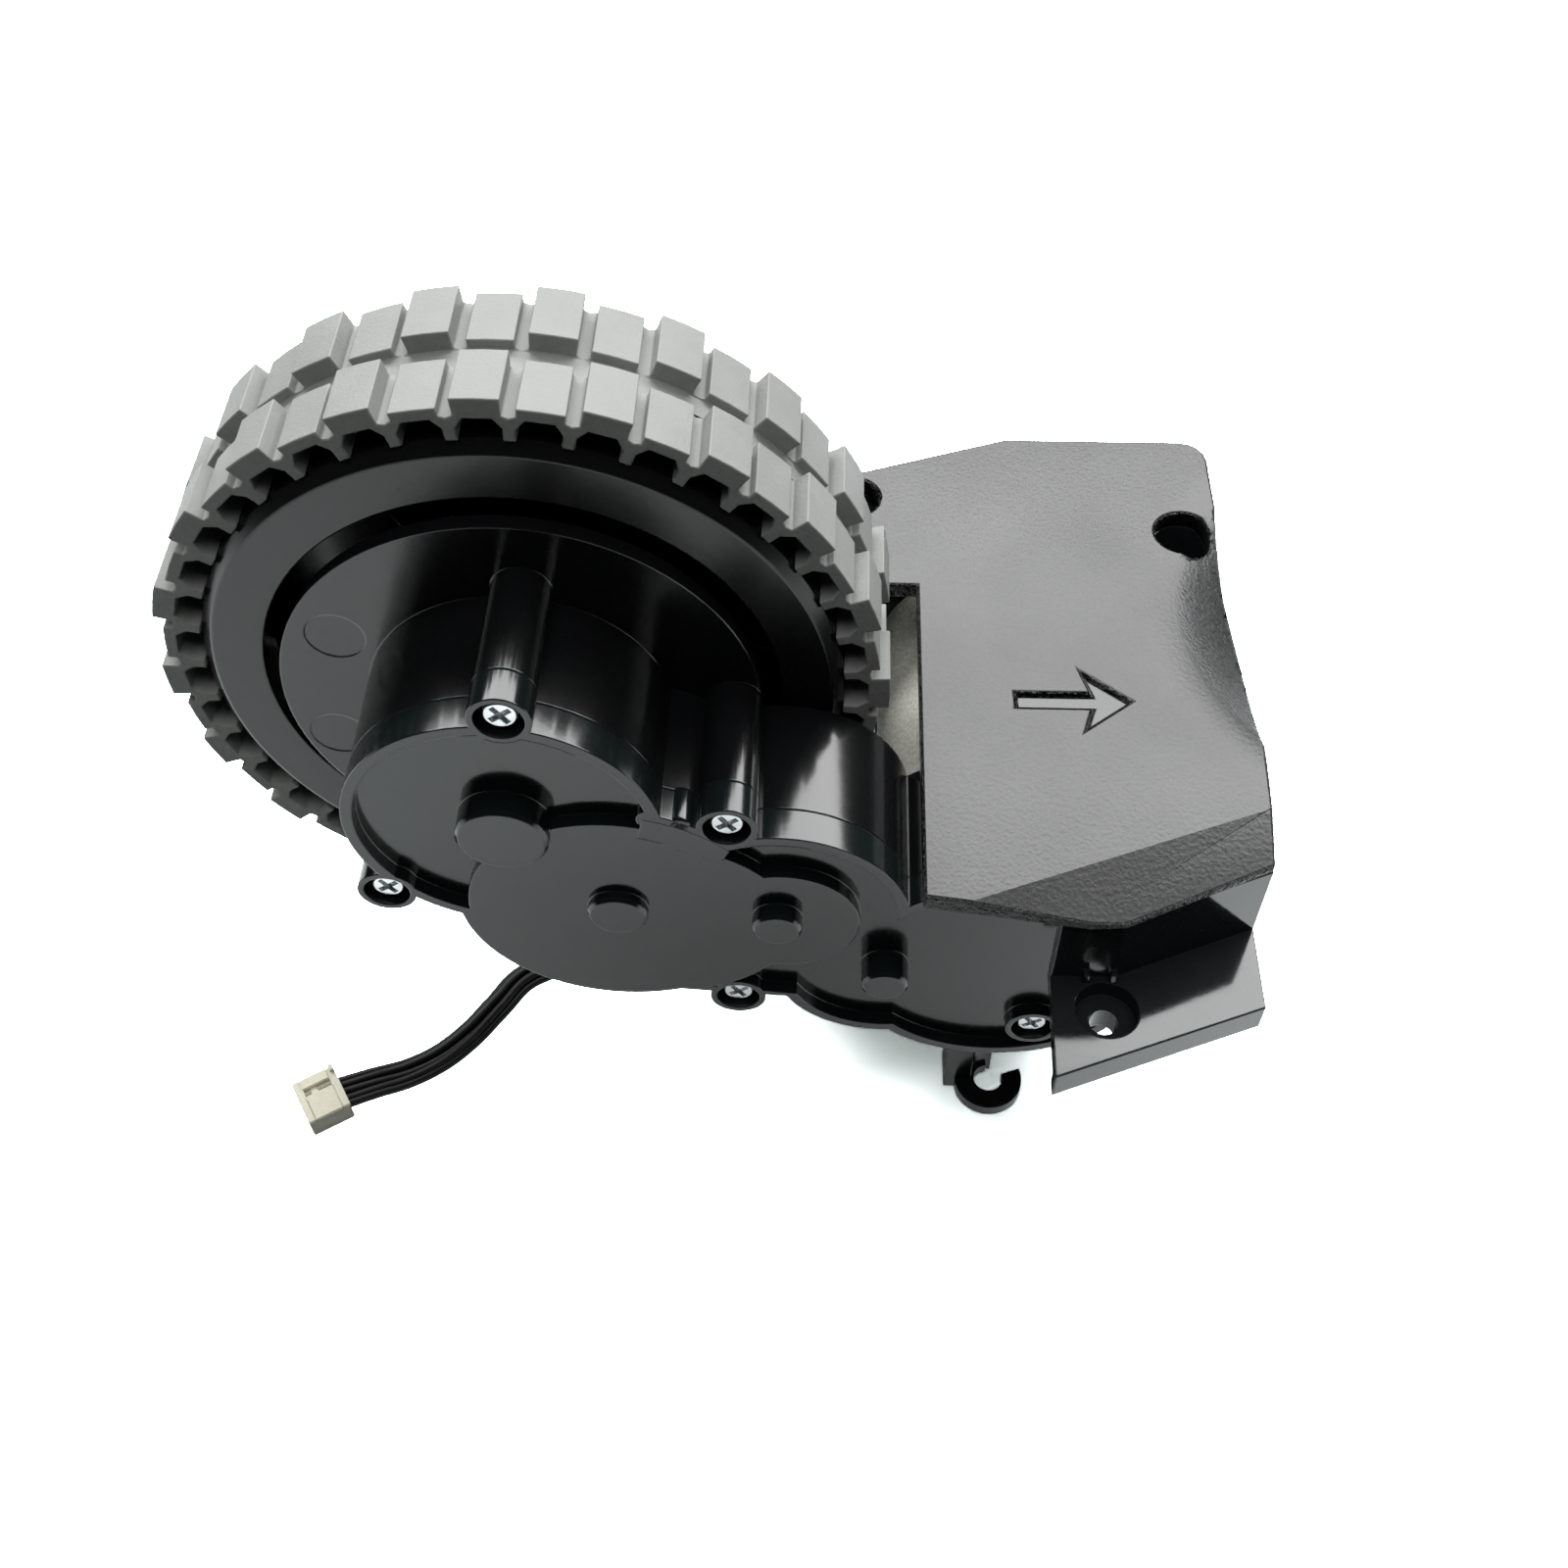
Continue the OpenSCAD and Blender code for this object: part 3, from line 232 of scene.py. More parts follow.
@dataclass(frozen=True)
class Cable:
    """The flat cable of single wires from the motor's board to its plug.

    Attributes:
        route: The points of its centreline, in millimetres about the wheel's axis.
        wires: How many wires lie side by side.
        wire_d: A wire's diameter, in millimetres.
        fan_w: The width over the wires at the plug, in millimetres.
        neck: The share of that width where the wires lie close together.
        fan_from: The share of the cable's length after which they fan out.
        lift: How far a crowded wire rides up or down, in millimetres.
        waver: How far a wire wanders sideways, in millimetres.
        waves: How often it wanders, in radians along the whole cable.
        stagger: How far each wire's wandering is ahead of the last one's, in radians.
        sides: Sides of a wire's round section.
    """

    route: tuple[Point, ...]
    wires: int = 5
    wire_d: float = 0.96
    fan_w: float = 4.4
    neck: float = 0.8
    fan_from: float = 0.72
    lift: float = 0.24
    waver: float = 0.1
    waves: float = 9.0
    stagger: float = 2.1
    sides: int = 12

    def centreline(self, steps: int = 8) -> list[Vector]:
        """The cable's middle line in the row frame."""
        return smooth_path([at(*p) for p in self.route], steps)

    def spread(self, t: float) -> float:
        """The share of the full width at t, from 0 at the board to 1 at the plug."""
        return self.neck + (1 - self.neck) * max((t - self.fan_from) / (1 - self.fan_from), 0)

    def offset(self, wire: int, t: float) -> Vector:
        """Where a wire lies beside the cable's middle line.

        Args:
            wire: Its number, from 0.
            t: The place along the cable, from 0 at the board to 1 at the plug.

        Returns:
            How far it lies across and up, in metres.
        """
        wide = self.spread(t)
        side = (wire / (self.wires - 1) - 0.5) * (self.fan_w * wide - self.wire_d)
        # Where the wires crowd together, every other one rides on its neighbours
        lift = self.lift * (1 if wire % 2 else -1) * (1 - wide) / (1 - self.neck)
        waver = self.waver * math.sin(self.waves * t + self.stagger * wire)
        return Vector((side + waver, lift, 0)) * MM

    def build(self) -> bpy.types.Object:
        """Sweeps each wire along the cable's line.

        Returns:
            One object that holds all the wires.
        """
        places = places_along(self.centreline(), Vector((0, 0, 1)))
        size = Matrix.Scale(self.wire_d / 2 * MM, 4)

        def fill(bm: bmesh.types.BMesh) -> None:
            """Adds the wires.

            Args:
                bm: The mesh to add to.
            """
            for wire in range(self.wires):
                shifts = [self.offset(wire, i / (len(places) - 1)) for i in range(len(places))]
                row = [place @ Matrix.Translation(shift) @ size for place, shift in zip(places, shifts)]
                sweep_disc(bm, row, self.sides)

        return add_mesh("cable_wires", fill)


CABLE = Cable(route=(
    (42.8, 31.8, -34), (40.4, 31.8, -34.1), (37, 30.6, -36.2), (34.3, 27.4, -39.8), (32.3, 22.8, -44),
    (29.5, 17.2, -47.4), (24.6, 11.8, -49.8), (18, 7, -51.2), (9.5, 4, -51.7), (0, 2.4, -51.7),
    (-6.2, -0.4, -51.7), (-9.2, -4.6, -51.7), (-11.8, -8.5, -51.7), (-14.8, -11.7, -51.7),
    (-18.2, -14, -51.5), (-21.8, -15.6, -51.1), (-25.5, -17.3, -50.8)))


@dataclass(frozen=True)
class Plug:
    """The cream housing that the wires end in, in millimetres.

    Attributes:
        length: Along the wires.
        width: Across the wires.
        height: Upwards.
        turn: Degrees from the -X direction.
        lifted: How far its middle lies above the wires' middle.
        overlap: How far its mouth reaches over the wires.
        wall: Wall round the cells of the contacts.
        base: Thickness of its floor.
        roof: Thickness of its roof.
        bar: Length of the roof's bars at both ends of the lock window.
        window: Where the lock window starts and ends, from one side.
        stop: Where the wall that closes the cells starts and ends, from the back.
        lip: Length and width of the lip that stands up over the wires.
        edge: How far its edges are rounded.
    """

    length: float = 4.9
    width: float = 5.7
    height: float = 3.1
    turn: float = 32.0
    lifted: float = 0.2
    overlap: float = 0.6
    wall: float = 0.45
    base: float = 0.9
    roof: float = 0.8
    bar: float = 0.9
    window: tuple[float, float] = (1.4, 2.3)
    stop: tuple[float, float] = (1.6, 2.4)
    lip: tuple[float, float] = (0.5, 0.9)
    edge: float = 0.12

    def block(self, bm: bmesh.types.BMesh, place: Matrix, low: Point, high: Point) -> None:
        """Adds a box with rounded edges.

        Args:
            bm: The mesh to add to.
            place: Where the plug lies.
            low, high: The box's corners in the plug: along, across and up.
        """
        made = bmesh.ops.create_cube(bm, size=1.0)["verts"]
        near, far = Vector(low) * MM, Vector(high) * MM
        box = Matrix.Translation((near + far) / 2) @ Matrix.Diagonal((*(far - near), 1.0))
        bmesh.ops.transform(bm, matrix=place @ box, verts=made)
        edges = list(dict.fromkeys(edge for vert in made for edge in vert.link_edges))
        bmesh.ops.bevel(bm, geom=edges, offset=self.edge * MM, segments=2, affect="EDGES")

    def parts(self, wires: int) -> list[tuple[Point, Point]]:
        """Works out the boxes that the plug is made of.

        The boxes reach a little into each other, or stand back a little, so that no two faces coincide.

        Args:
            wires: How many cells it has.

        Returns:
            For each box, its two corners.
        """
        half = self.width / 2
        back, front = self.overlap - self.length, self.overlap
        low = self.lifted - self.height / 2
        top = low + self.height
        under = top - self.roof
        near, far = back + self.bar - 0.1, front - self.bar + 0.1
        floor = ((back, -half, low), (front, half, low + self.base))
        roof = [((back, -half, under), (back + self.bar, half, top)),
                ((front - self.bar, -half, under), (front, half, top)),
                ((near, -half, under), (far, half - self.window[1], top)),
                ((near, half - self.window[0], under), (far, half, top))]
        cell = (self.width - 2 * self.wall) / wires
        walls = [((back + 0.05, -half + side * cell, low + 0.5),
                  (front - 0.15, -half + side * cell + self.wall, top - 0.5)) for side in range(wires + 1)]
        stop = ((back + self.stop[0], -half + 0.2, low + 0.4), (back + self.stop[1], half - 0.2, top - 0.4))
        lip = ((front - self.lip[0], half - self.lip[1], low + 0.6), (front, half + 0.1, top + 0.5))
        return [floor, *roof, *walls, stop, lip]

    def build(self, end: Point, wires: int) -> bpy.types.Object:
        """Builds the housing with a cell for each wire, a lock window and a lip.

        Args:
            end: Where the cable's line ends, in millimetres about the wheel's axis.
            wires: How many cells it has.

        Returns:
            The plug as one object.
        """
        place = Matrix.Translation(at(*end)) @ Matrix.Rotation(math.radians(self.turn), 4, "Z")

        def fill(bm: bmesh.types.BMesh) -> None:
            """Adds the boxes."""
            for low, high in self.parts(wires):
                self.block(bm, place, low, high)

        return add_mesh("cable_plug", fill, smooth=False)


# Gear cover


@dataclass(frozen=True)
class CoverBridge:
    """The flat web that joins the gear cover's dome to its rim, in millimetres about the wheel's axis.

    Attributes:
        axis: The dome's axis, as X and Z.
        angles: Where the web starts and ends round that axis, in degrees.
        radii: Its inner and outer radius.
        front: The rim's place along Y.
        proud: How far the web stands out of the rim.
        depth: How far down to the sunk floor it reaches.
        point: How far its end runs out, as a share of half its width.
    """

    axis: tuple[float, float] = (9.46, -11.9)
    angles: tuple[float, float] = (77.0, 41.0)
    radii: tuple[float, float] = (11.6, 14.46)
    front: float = -17.35
    proud: float = 0.012
    depth: float = 1.3
    point: float = 0.45

    def spot(self, radius: float, angle: float) -> Vector:
        """A place on the web's front, by its radius and its angle in degrees."""
        turn = math.radians(angle)
        return at(self.axis[0] + radius * math.cos(turn), self.front - self.proud,
                  self.axis[1] + radius * math.sin(turn))

    def build(self, steps: int = 40) -> bpy.types.Object:
        """Spins the web round the dome's axis and runs its end out like the slot beside it.

        Args:
            steps: Faces along the web.

        Returns:
            The web.
        """
        start, end = self.angles
        middle, half = sum(self.radii) / 2, (self.radii[1] - self.radii[0]) / 2

        def fill(bm: bmesh.types.BMesh) -> None:
            """Adds the web.

            Args:
                bm: The mesh to add to.
            """
            first = [bm.verts.new(self.spot(radius, start)) for radius in self.radii]
            spun = bmesh.ops.spin(bm, geom=[*first, bm.edges.new(first)], cent=self.spot(0, 0),
                                  axis=(0, 1, 0), angle=math.radians(start - end), steps=steps)
            last = [part for part in spun["geom_last"] if isinstance(part, bmesh.types.BMVert)]
            tip = bm.verts.new(self.spot(middle, end - self.point * math.degrees(half / middle)))
            bm.faces.new((*last, tip))
            grown = bmesh.ops.extrude_face_region(bm, geom=bm.faces[:])["geom"]
            moved = [part for part in grown if isinstance(part, bmesh.types.BMVert)]
            bmesh.ops.translate(bm, vec=Vector((0, self.depth + self.proud, 0)) * MM, verts=moved)

        return add_mesh("cover_bridge", fill, smooth=False)


@dataclass(frozen=True)
class CoverRib:
    """The small half-round rib outside the gear cover's rim, in millimetres about the wheel's axis.

    Attributes:
        centre: Its axis, as X and Z.
        radius: Its radius.
        levels: Its front and back along Y.
        edge: How far its ends are rounded.
    """

    centre: tuple[float, float] = (15.95, 1.15)
    radius: float = 1.15
    levels: tuple[float, float] = (-17.35, -13.5)
    edge: float = 0.3

    def build(self, sides: int = 32, bends: int = 6) -> bpy.types.Object:
        """Sweeps the rib along its axis, with rounded ends.

        Args:
            sides: Sides of its round section.
            bends: Faces across each rounded end.

        Returns:
            The rib.
        """
        front, back = self.levels
        turns = [math.radians(90 * k / bends) for k in range(bends + 1)]
        profile = [(self.radius - self.edge * (1 - math.sin(a)), front + self.edge * (1 - math.cos(a)))
                   for a in turns]
        profile += [(radius, front + back - y) for radius, y in reversed(profile)]
        level = Matrix.Rotation(math.radians(90), 4, "X")
        places = []
        for radius, y in profile:
            place = Matrix.Translation(at(self.centre[0], y, self.centre[1]))
            places.append(place @ level @ Matrix.Scale(radius * MM, 4))

        def fill(bm: bmesh.types.BMesh) -> None:
            """Adds the rib."""
            sweep_disc(bm, places, sides)

        return add_mesh("cover_rib", fill)


# Finishes


class Surface(Enum):
    """How a material's surface is made."""

    MOULDED = "moulded plastic"
    TEXTURED = "textured plate"
    RUBBER = "rubber"
    METAL = "metal"
    WOUND = "wound wire"
    STACKED = "stacked sheet"
    BOARD = "circuit board"


@dataclass(frozen=True)
class Finish:
    """One material of the record, as the scene paints it.

    Attributes:
        surface: How its surface is made.
        color: Its colour, linear.
        roughness: Its mean roughness.
        uneven: How far the roughness wanders from the mean.
        grain: Size of the surface's grain, in millimetres.
        depth: Height of the grain, in millimetres.
        mottle: How far the colour wanders, as a share.
        metallic: How far it is bare metal.
        gloss: How strongly it mirrors, where 0.5 is usual for a plain surface.
        rounding: Radius of its edges in the shading, in millimetres.
    """

    surface: Surface
    color: Color
    roughness: float
    uneven: float = 0.04
    grain: float = 0.5
    depth: float = 0.002
    mottle: float = 0.08
    metallic: float = 0.0
    gloss: float = 0.5
    rounding: float = 0.0


FINISHES: dict[str, Finish] = {
    "frame_plastic": Finish(
        Surface.MOULDED, (0.013, 0.0148, 0.016), 0.1, 0.03, 3.0, 0.003, rounding=0.3),
    "cover_plastic": Finish(Surface.TEXTURED, (0.013, 0.0134, 0.0138), 0.34, 0.03, 0.42, 0.009, 0.15),
    "housing_plastic": Finish(
        Surface.MOULDED, (0.0045, 0.0048, 0.0054), 0.15, 0.03, 4.0, 0.004, rounding=0.25),
    "gear_cover_plastic": Finish(
        Surface.MOULDED, (0.005, 0.0078, 0.0078), 0.14, 0.03, 4.0, 0.004, rounding=0.25),
    "hub_plastic": Finish(Surface.MOULDED, (0.004, 0.0042, 0.0046), 0.24, 0.04, 3.0, 0.004, gloss=0.4),
    "cap_plastic": Finish(Surface.MOULDED, (0.012, 0.012, 0.013), 0.45, 0.08, 0.3, 0.01),
    "connector_plastic": Finish(Surface.MOULDED, (0.62, 0.6, 0.47), 0.42, 0.06, 0.4, 0.004, 0.04),
    "gear_plastic": Finish(Surface.MOULDED, (0.62, 0.6, 0.52), 0.38, 0.06, 0.4, 0.004, 0.04),
    "tyre_rubber": Finish(Surface.RUBBER, (0.24, 0.248, 0.24), 0.5, 0.08, 0.35, 0.012, 0.1, gloss=0.2),
    "wire_insulation": Finish(Surface.RUBBER, (0.003, 0.003, 0.003), 0.62, 0.06, 0.3, 0.003, 0.1),
    "screw_steel": Finish(Surface.METAL, (0.58, 0.59, 0.6), 0.22, 0.1, 0.15, 0.004, 0.2, metallic=1.0),
    "pin_steel": Finish(Surface.METAL, (0.56, 0.57, 0.58), 0.2, 0.08, 0.12, 0.001, 0.08, metallic=1.0),
    "spring_steel": Finish(Surface.METAL, (0.46, 0.47, 0.49), 0.3, 0.1, 0.2, 0.002, 0.12, metallic=1.0),
    "bush_bronze": Finish(Surface.METAL, (0.5, 0.34, 0.16), 0.42, 0.1, 0.2, 0.006, 0.15, metallic=1.0),
    "can_steel": Finish(
        Surface.MOULDED, (0.82, 0.81, 0.73), 0.42, 0.1, 0.35, 0.008, 0.16, metallic=0.3),
    "pinion_brass": Finish(Surface.METAL, (0.62, 0.46, 0.2), 0.28, 0.08, 0.2, 0.002, 0.1, metallic=1.0),
    "ferrite": Finish(Surface.MOULDED, (0.035, 0.035, 0.038), 0.55, 0.08, 0.15, 0.01, 0.2),
    "carbon": Finish(Surface.MOULDED, (0.02, 0.019, 0.018), 0.5, 0.1, 0.1, 0.01, 0.2),
    "lamination": Finish(Surface.STACKED, (0.34, 0.35, 0.37), 0.4, 0.1, 0.5, 0.03, 0.15, metallic=1.0),
    "copper": Finish(Surface.WOUND, (0.52, 0.2, 0.075), 0.3, 0.08, 0.28, 0.06, 0.15, metallic=1.0),
    "board": Finish(Surface.BOARD, (0.02, 0.13, 0.045), 0.35, 0.05, 0.9, 0.02, 0.3),
}


class Graph:
    """Wires up the nodes of a material or a node group."""

    def __init__(self, tree: bpy.types.NodeTree) -> None:
        """Starts with an empty tree.

        Args:
            tree: The tree to fill.
        """
        self.tree = tree
        self.tree.nodes.clear()

    def add(self, kind: str, inputs: dict | None = None, **settings: object) -> bpy.types.Node:
        """Adds a node.

        Args:
            kind: The node's type. A shader node's prefix is left off.
            inputs: Socket name or number to a value, or to the socket that feeds it.
            settings: Properties of the node.

        Returns:
            The node.
        """
        known = kind.startswith(("Node", "GeometryNode", "FunctionNode"))
        node = self.tree.nodes.new(kind if known else "ShaderNode" + kind)
        for name, value in settings.items():
            setattr(node, name, value)
        for key, value in (inputs or {}).items():
            if isinstance(value, bpy.types.NodeSocket):
                self.tree.links.new(value, node.inputs[key])
            else:
                node.inputs[key].default_value = value
        return node

    def noise(self, where: Socket, scale: Feed, detail: float = 3.0) -> Socket:
        """Adds noise and gives the socket of its value."""
        node = self.add("TexNoise", {"Vector": where, "Scale": scale, "Detail": detail})
        return node.outputs["Fac"]

    def math(self, operation: str, a: Feed, b: Feed = 0.5, c: Feed = 0.5) -> Socket:
        """Adds a sum and gives its socket."""
        return self.add("Math", {0: a, 1: b, 2: c}, operation=operation).outputs[0]

    def vector(self, operation: str, a: Feed | Point, b: Feed | Point = (0, 0, 0)) -> bpy.types.Node:
        """Adds a sum of vectors and gives its node."""
        return self.add("VectorMath", {0: a, 1: b}, operation=operation)

    def ramp(self, value: Feed, low: float, high: float, to_low: float, to_high: float) -> Socket:
        """Adds a range map and gives its socket."""
        node = self.add("MapRange", {0: value, 1: low, 2: high, 3: to_low, 4: to_high})
        return node.outputs[0]

    def swing(self, value: Feed, low: float = 0.3, high: float = 0.7) -> Socket:
        """Maps a value between two bounds to the range from -1 to 1."""
        return self.ramp(value, low, high, -1.0, 1.0)

    def surface(self, shader: bpy.types.Node, kind: str = "Material") -> None:
        """Feeds the output of a material or a world."""
        out = self.add("Output" + kind)
        self.tree.links.new(shader.outputs[0], out.inputs["Surface"])


class Skin(Graph):
    """A shader node group that works out one kind of surface from its grain, roughness and mottle.

    Attributes:
        source: The group's input node.
        sink: The group's output node.
        where: The object's coordinates.
        scale: How many grains there are to a metre.
    """

    INPUTS = ("Grain", "Depth", "Roughness", "Uneven", "Mottle")
    OUTPUTS = {"Normal": "NodeSocketVector", "Roughness": "NodeSocketFloat", "Tone": "NodeSocketFloat"}

    def __init__(self, name: str, more: Sequence[str] = ()) -> None:
        """Starts the group with its sockets.

        Args:
            name: The group's name.
            more: Inputs that only this kind of surface has.
        """
        tree = bpy.data.node_groups.new(name, "ShaderNodeTree")
        for label in (*self.INPUTS, *more):
            tree.interface.new_socket(label, in_out="INPUT", socket_type="NodeSocketFloat")
        for label, kind in self.OUTPUTS.items():
            tree.interface.new_socket(label, in_out="OUTPUT", socket_type=kind)
        super().__init__(tree)
        self.source = self.add("NodeGroupInput")
        self.sink = self.add("NodeGroupOutput")
        self.where = self.add("TexCoord").outputs["Object"]
        self.scale = self.math("DIVIDE", 1 / MM, self.given("Grain"))

    def given(self, label: str) -> Socket:
        """The socket of one input."""
        return self.source.outputs[label]

    def bump(self, height: Socket, share: Feed, below: Socket | None = None,
             strength: float = 1.0) -> Socket:
        """Bends the normal by a height.

        Args:
            height: The height, from 0 to 1.
            share: Metres to each unit of the group's depth.
            below: A normal that is bent already.
            strength: How far the bent normal takes the place of the plain one.

        Returns:
            The normal's socket.
        """
        metres = self.math("MULTIPLY", self.given("Depth"), share)
        inputs = {"Height": height, "Distance": metres, "Strength": strength}
        if below is not None:
            inputs["Normal"] = below
        return self.add("Bump", inputs).outputs[0]

    def wander(self, base: Feed, amount: str, by: Socket) -> Socket:
        """Lets a value wander.

        Args:
            base: Its mean.
            amount: The input that says how far it wanders.
            by: What it wanders with.

        Returns:
            The value's socket.
        """
        return self.math("MULTIPLY_ADD", by, self.given(amount), base)

    def finish(self, normal: Socket, rough: Socket, tone: Socket) -> bpy.types.NodeTree:
        """Feeds the outputs.

        Args:
            normal: The surface's normal.
            rough: Its roughness.
            tone: What its colour is multiplied by.

        Returns:
            The finished group.
        """
        for label, socket in zip(self.OUTPUTS, (normal, rough, tone)):
            self.tree.links.new(socket, self.sink.inputs[label])
        return self.tree


# How many smudges there are to a metre of plastic
SMUDGES = 55.0


def grain_group() -> bpy.types.NodeTree:
    """Pitted grain as a spark-eroded mould leaves it, with roughness and colour that wander.

    Returns:
        The group.
    """
    skin = Skin("moulded_grain", ["Rounding"])
    rounded = skin.add("Bevel", {"Radius": skin.math("MULTIPLY", skin.given("Rounding"), MM)}, samples=8)
    fine = skin.noise(skin.where, skin.scale, 4.0)
    coarse = skin.noise(skin.where, skin.math("MULTIPLY", skin.scale, 0.31), 2.0)
    normal = skin.bump(skin.math("MULTIPLY_ADD", coarse, 0.6, fine), MM * 4, rounded.outputs[0])
    smudge = skin.noise(skin.where, SMUDGES)
    rough = skin.wander(skin.given("Roughness"), "Uneven", skin.swing(smudge))
    tone = skin.wander(1.0, "Mottle", skin.swing(fine, 0.35, 0.65))
    return skin.finish(normal, rough, tone)


@dataclass(frozen=True)
class Hollow:
    """The hollow in the surface cover's outer edge, in millimetres about the wheel's axis.

    Attributes:
        centre: The upright axis that it is turned about, as X and Y.
        tube: Radius of its round section.
        ring: Radius of the circle that the section's centre runs on.
        brink: Radius at which the section meets the cover's top.
        outer: Radius at which the top starts to bend.
        span: Over which length it bends, towards the axis.
        steep: The slope at the end of the bend.
        power: How suddenly the bend starts.
        margin: How far past the brink the plain top starts.
    """

    centre: tuple[float, float] = (90.6, 17.0)
    tube: float = 14.0
    ring: float = 16.94
    brink: float = 25.6
    outer: float = 30.5
    span: float = 11.5
    steep: float = 0.8
    power: float = 2.6
    margin: float = 0.3

    def shade(self, graph: Graph, where: Socket) -> tuple[Socket, Socket, Socket]:
        """Softens the brink for the shader.

        Args:
            graph: The group that it is added to.
            where: The object's coordinates.

        Returns:
            The height to add, in metres, how far into the bend a point lies, and whether it lies
            beyond the brink.
        """
        offset = graph.vector("SUBTRACT", where, tuple(at(*self.centre, 0))).outputs[0]
        level = graph.vector("MULTIPLY", offset, (1, 1, 0)).outputs[0]
        away = graph.math("DIVIDE", graph.vector("LENGTH", level).outputs["Value"], MM)
        bend = graph.ramp(away, self.outer, self.outer - self.span, 0.0, 1.0)
        fall = -self.steep * self.span / self.power
        wanted = graph.math("MULTIPLY", graph.math("POWER", bend, self.power), fall)
        inside = graph.math("MAXIMUM", graph.math("MINIMUM", away, self.brink), self.ring)
        reach = graph.math("SUBTRACT", inside, self.ring)
        depth = graph.math("SUBTRACT", self.tube ** 2, graph.math("MULTIPLY", reach, reach))
        height = graph.math("MULTIPLY", graph.math("ADD", wanted, graph.math("SQRT", depth)), MM)
        return height, bend, graph.math("GREATER_THAN", away, self.brink + self.margin)


@dataclass(frozen=True)
class PlateSkin:
    """The surface cover's skin: finely pitted on top, coarse on its slopes, smooth in the sunk mark, with
    painted shade on the slopes and a painted highlight in the mark.

    Attributes:
        slope_pits: How much deeper the pits on a slope are.
        slope_rough: What a slope adds to the roughness.
        slope_painted_shade: What a slope adds to the tone: painted shade that darkens the slopes and the
            hollow's bend.
        mark_painted_highlight: What the sunk mark adds to the tone: a painted highlight that lightens the
            mark's smooth floor.
        near_y: Up to where the near slope reaches, in millimetres about the wheel's axis.
        mark_depth: Between which depths the mark starts, in millimetres.
    """

    slope_pits: float = 32.0
    slope_rough: float = -0.02
    slope_painted_shade: float = -0.85
    mark_painted_highlight: float = 2.5
    near_y: float = 12.0
    mark_depth: tuple[float, float] = (0.35, 0.25)

    def group(self) -> bpy.types.NodeTree:
        """Builds the shader group.

        Returns:
            The group.
        """
        skin = Skin("textured_plate")
        coords = skin.add("TexCoord")
        tilt = skin.add("SeparateXYZ", {0: coords.outputs["Normal"]}).outputs
        place = skin.add("SeparateXYZ", {0: skin.where}).outputs
        soft, bend, plain_part = Hollow().shade(skin, skin.where)
        near = skin.math("MULTIPLY", skin.math("LESS_THAN", place["Y"], at(0, self.near_y, 0).y),
                         skin.math("LESS_THAN", tilt["Y"], -0.05))
        sloped = skin.math("MAXIMUM", plain_part, near)
        slope = skin.math("MULTIPLY", skin.ramp(tilt["Z"], 0.975, 0.93, 0.0, 1.0), sloped)
        slope = skin.math("MAXIMUM", slope, skin.ramp(bend, 0.45, 0.85, 0.0, 0.5))
        low, high = (PLATE_TOP - depth * MM for depth in self.mark_depth)
        sunk = skin.ramp(place["Z"], low, high, 1.0, 0.0)
        mark = skin.math("MULTIPLY", sunk, skin.ramp(tilt["Z"], 0.995, 0.999, 0.0, 1.0))
        fine = skin.noise(skin.where, skin.scale, 4.0)
        coarse = skin.noise(skin.where, skin.math("MULTIPLY", skin.scale, 0.42))
        pits = skin.math("MULTIPLY_ADD", coarse, slope, fine)
        rise = skin.math("MULTIPLY_ADD", slope, self.slope_pits, 1.0)
        plain = skin.math("SUBTRACT", 1.0, mark)
        share = skin.math("MULTIPLY", rise, skin.math("MULTIPLY", plain, MM * 4))
        bent = skin.add("Bump", {"Height": soft, "Distance": 1.0, "Strength": 1.0}).outputs[0]
        smudge = skin.swing(skin.noise(skin.where, SMUDGES))
        rough = skin.wander(skin.given("Roughness"), "Uneven", smudge)
        rough = skin.math("MULTIPLY_ADD", skin.math("MAXIMUM", mark, slope), self.slope_rough, rough)
        tone = skin.wander(1.0, "Mottle", skin.swing(fine, 0.35, 0.65))
        # Painted shade: the colour is darkened on the slopes and in the hollow's bend, where the tilt sends
        # the light away
        tone = skin.math("MULTIPLY_ADD", slope, self.slope_painted_shade, tone)
        # Painted highlight: the colour is lightened on the sunk mark's floor
        tone = skin.math("MULTIPLY_ADD", mark, self.mark_painted_highlight, tone)
        return skin.finish(skin.bump(pits, share, bent), rough, tone)


def rubber_group() -> bpy.types.NodeTree:
    """Moulded rubber: a dull skin with faint dust and paler scuffs.

    Returns:
        The group.
    """
    skin = Skin("moulded_rubber")
    normal = skin.bump(skin.noise(skin.where, skin.scale, 5.0), MM * 4)
    dust = skin.ramp(skin.noise(skin.where, 260.0, 6.0), 0.42, 0.75, 0.0, 1.0)
    cloud = skin.ramp(skin.noise(skin.where, 90.0, 2.0), 0.3, 0.7, -0.5, 0.5)
    stain = skin.math("ADD", dust, cloud)
    rough = skin.wander(skin.given("Roughness"), "Uneven", stain)
    return skin.finish(normal, rough, skin.wander(1.0, "Mottle", stain))


def metal_group() -> bpy.types.NodeTree:
    """Drawn or turned metal: fine lines round the axle's direction, and patches of dull plating.

    Returns:
        The group.
    """
    skin = Skin("worked_metal")
    stretched = skin.add("Mapping", {"Vector": skin.where, "Scale": (0.06, 1.0, 0.06)}).outputs[0]
    lines = skin.noise(stretched, skin.scale)
    patch = skin.swing(skin.noise(skin.where, 420.0, 4.0))
    rough = skin.wander(skin.given("Roughness"), "Uneven", patch)
    tone = skin.wander(1.0, "Mottle", skin.swing(lines))
    return skin.finish(skin.bump(lines, MM * 2, strength=0.8), rough, tone)


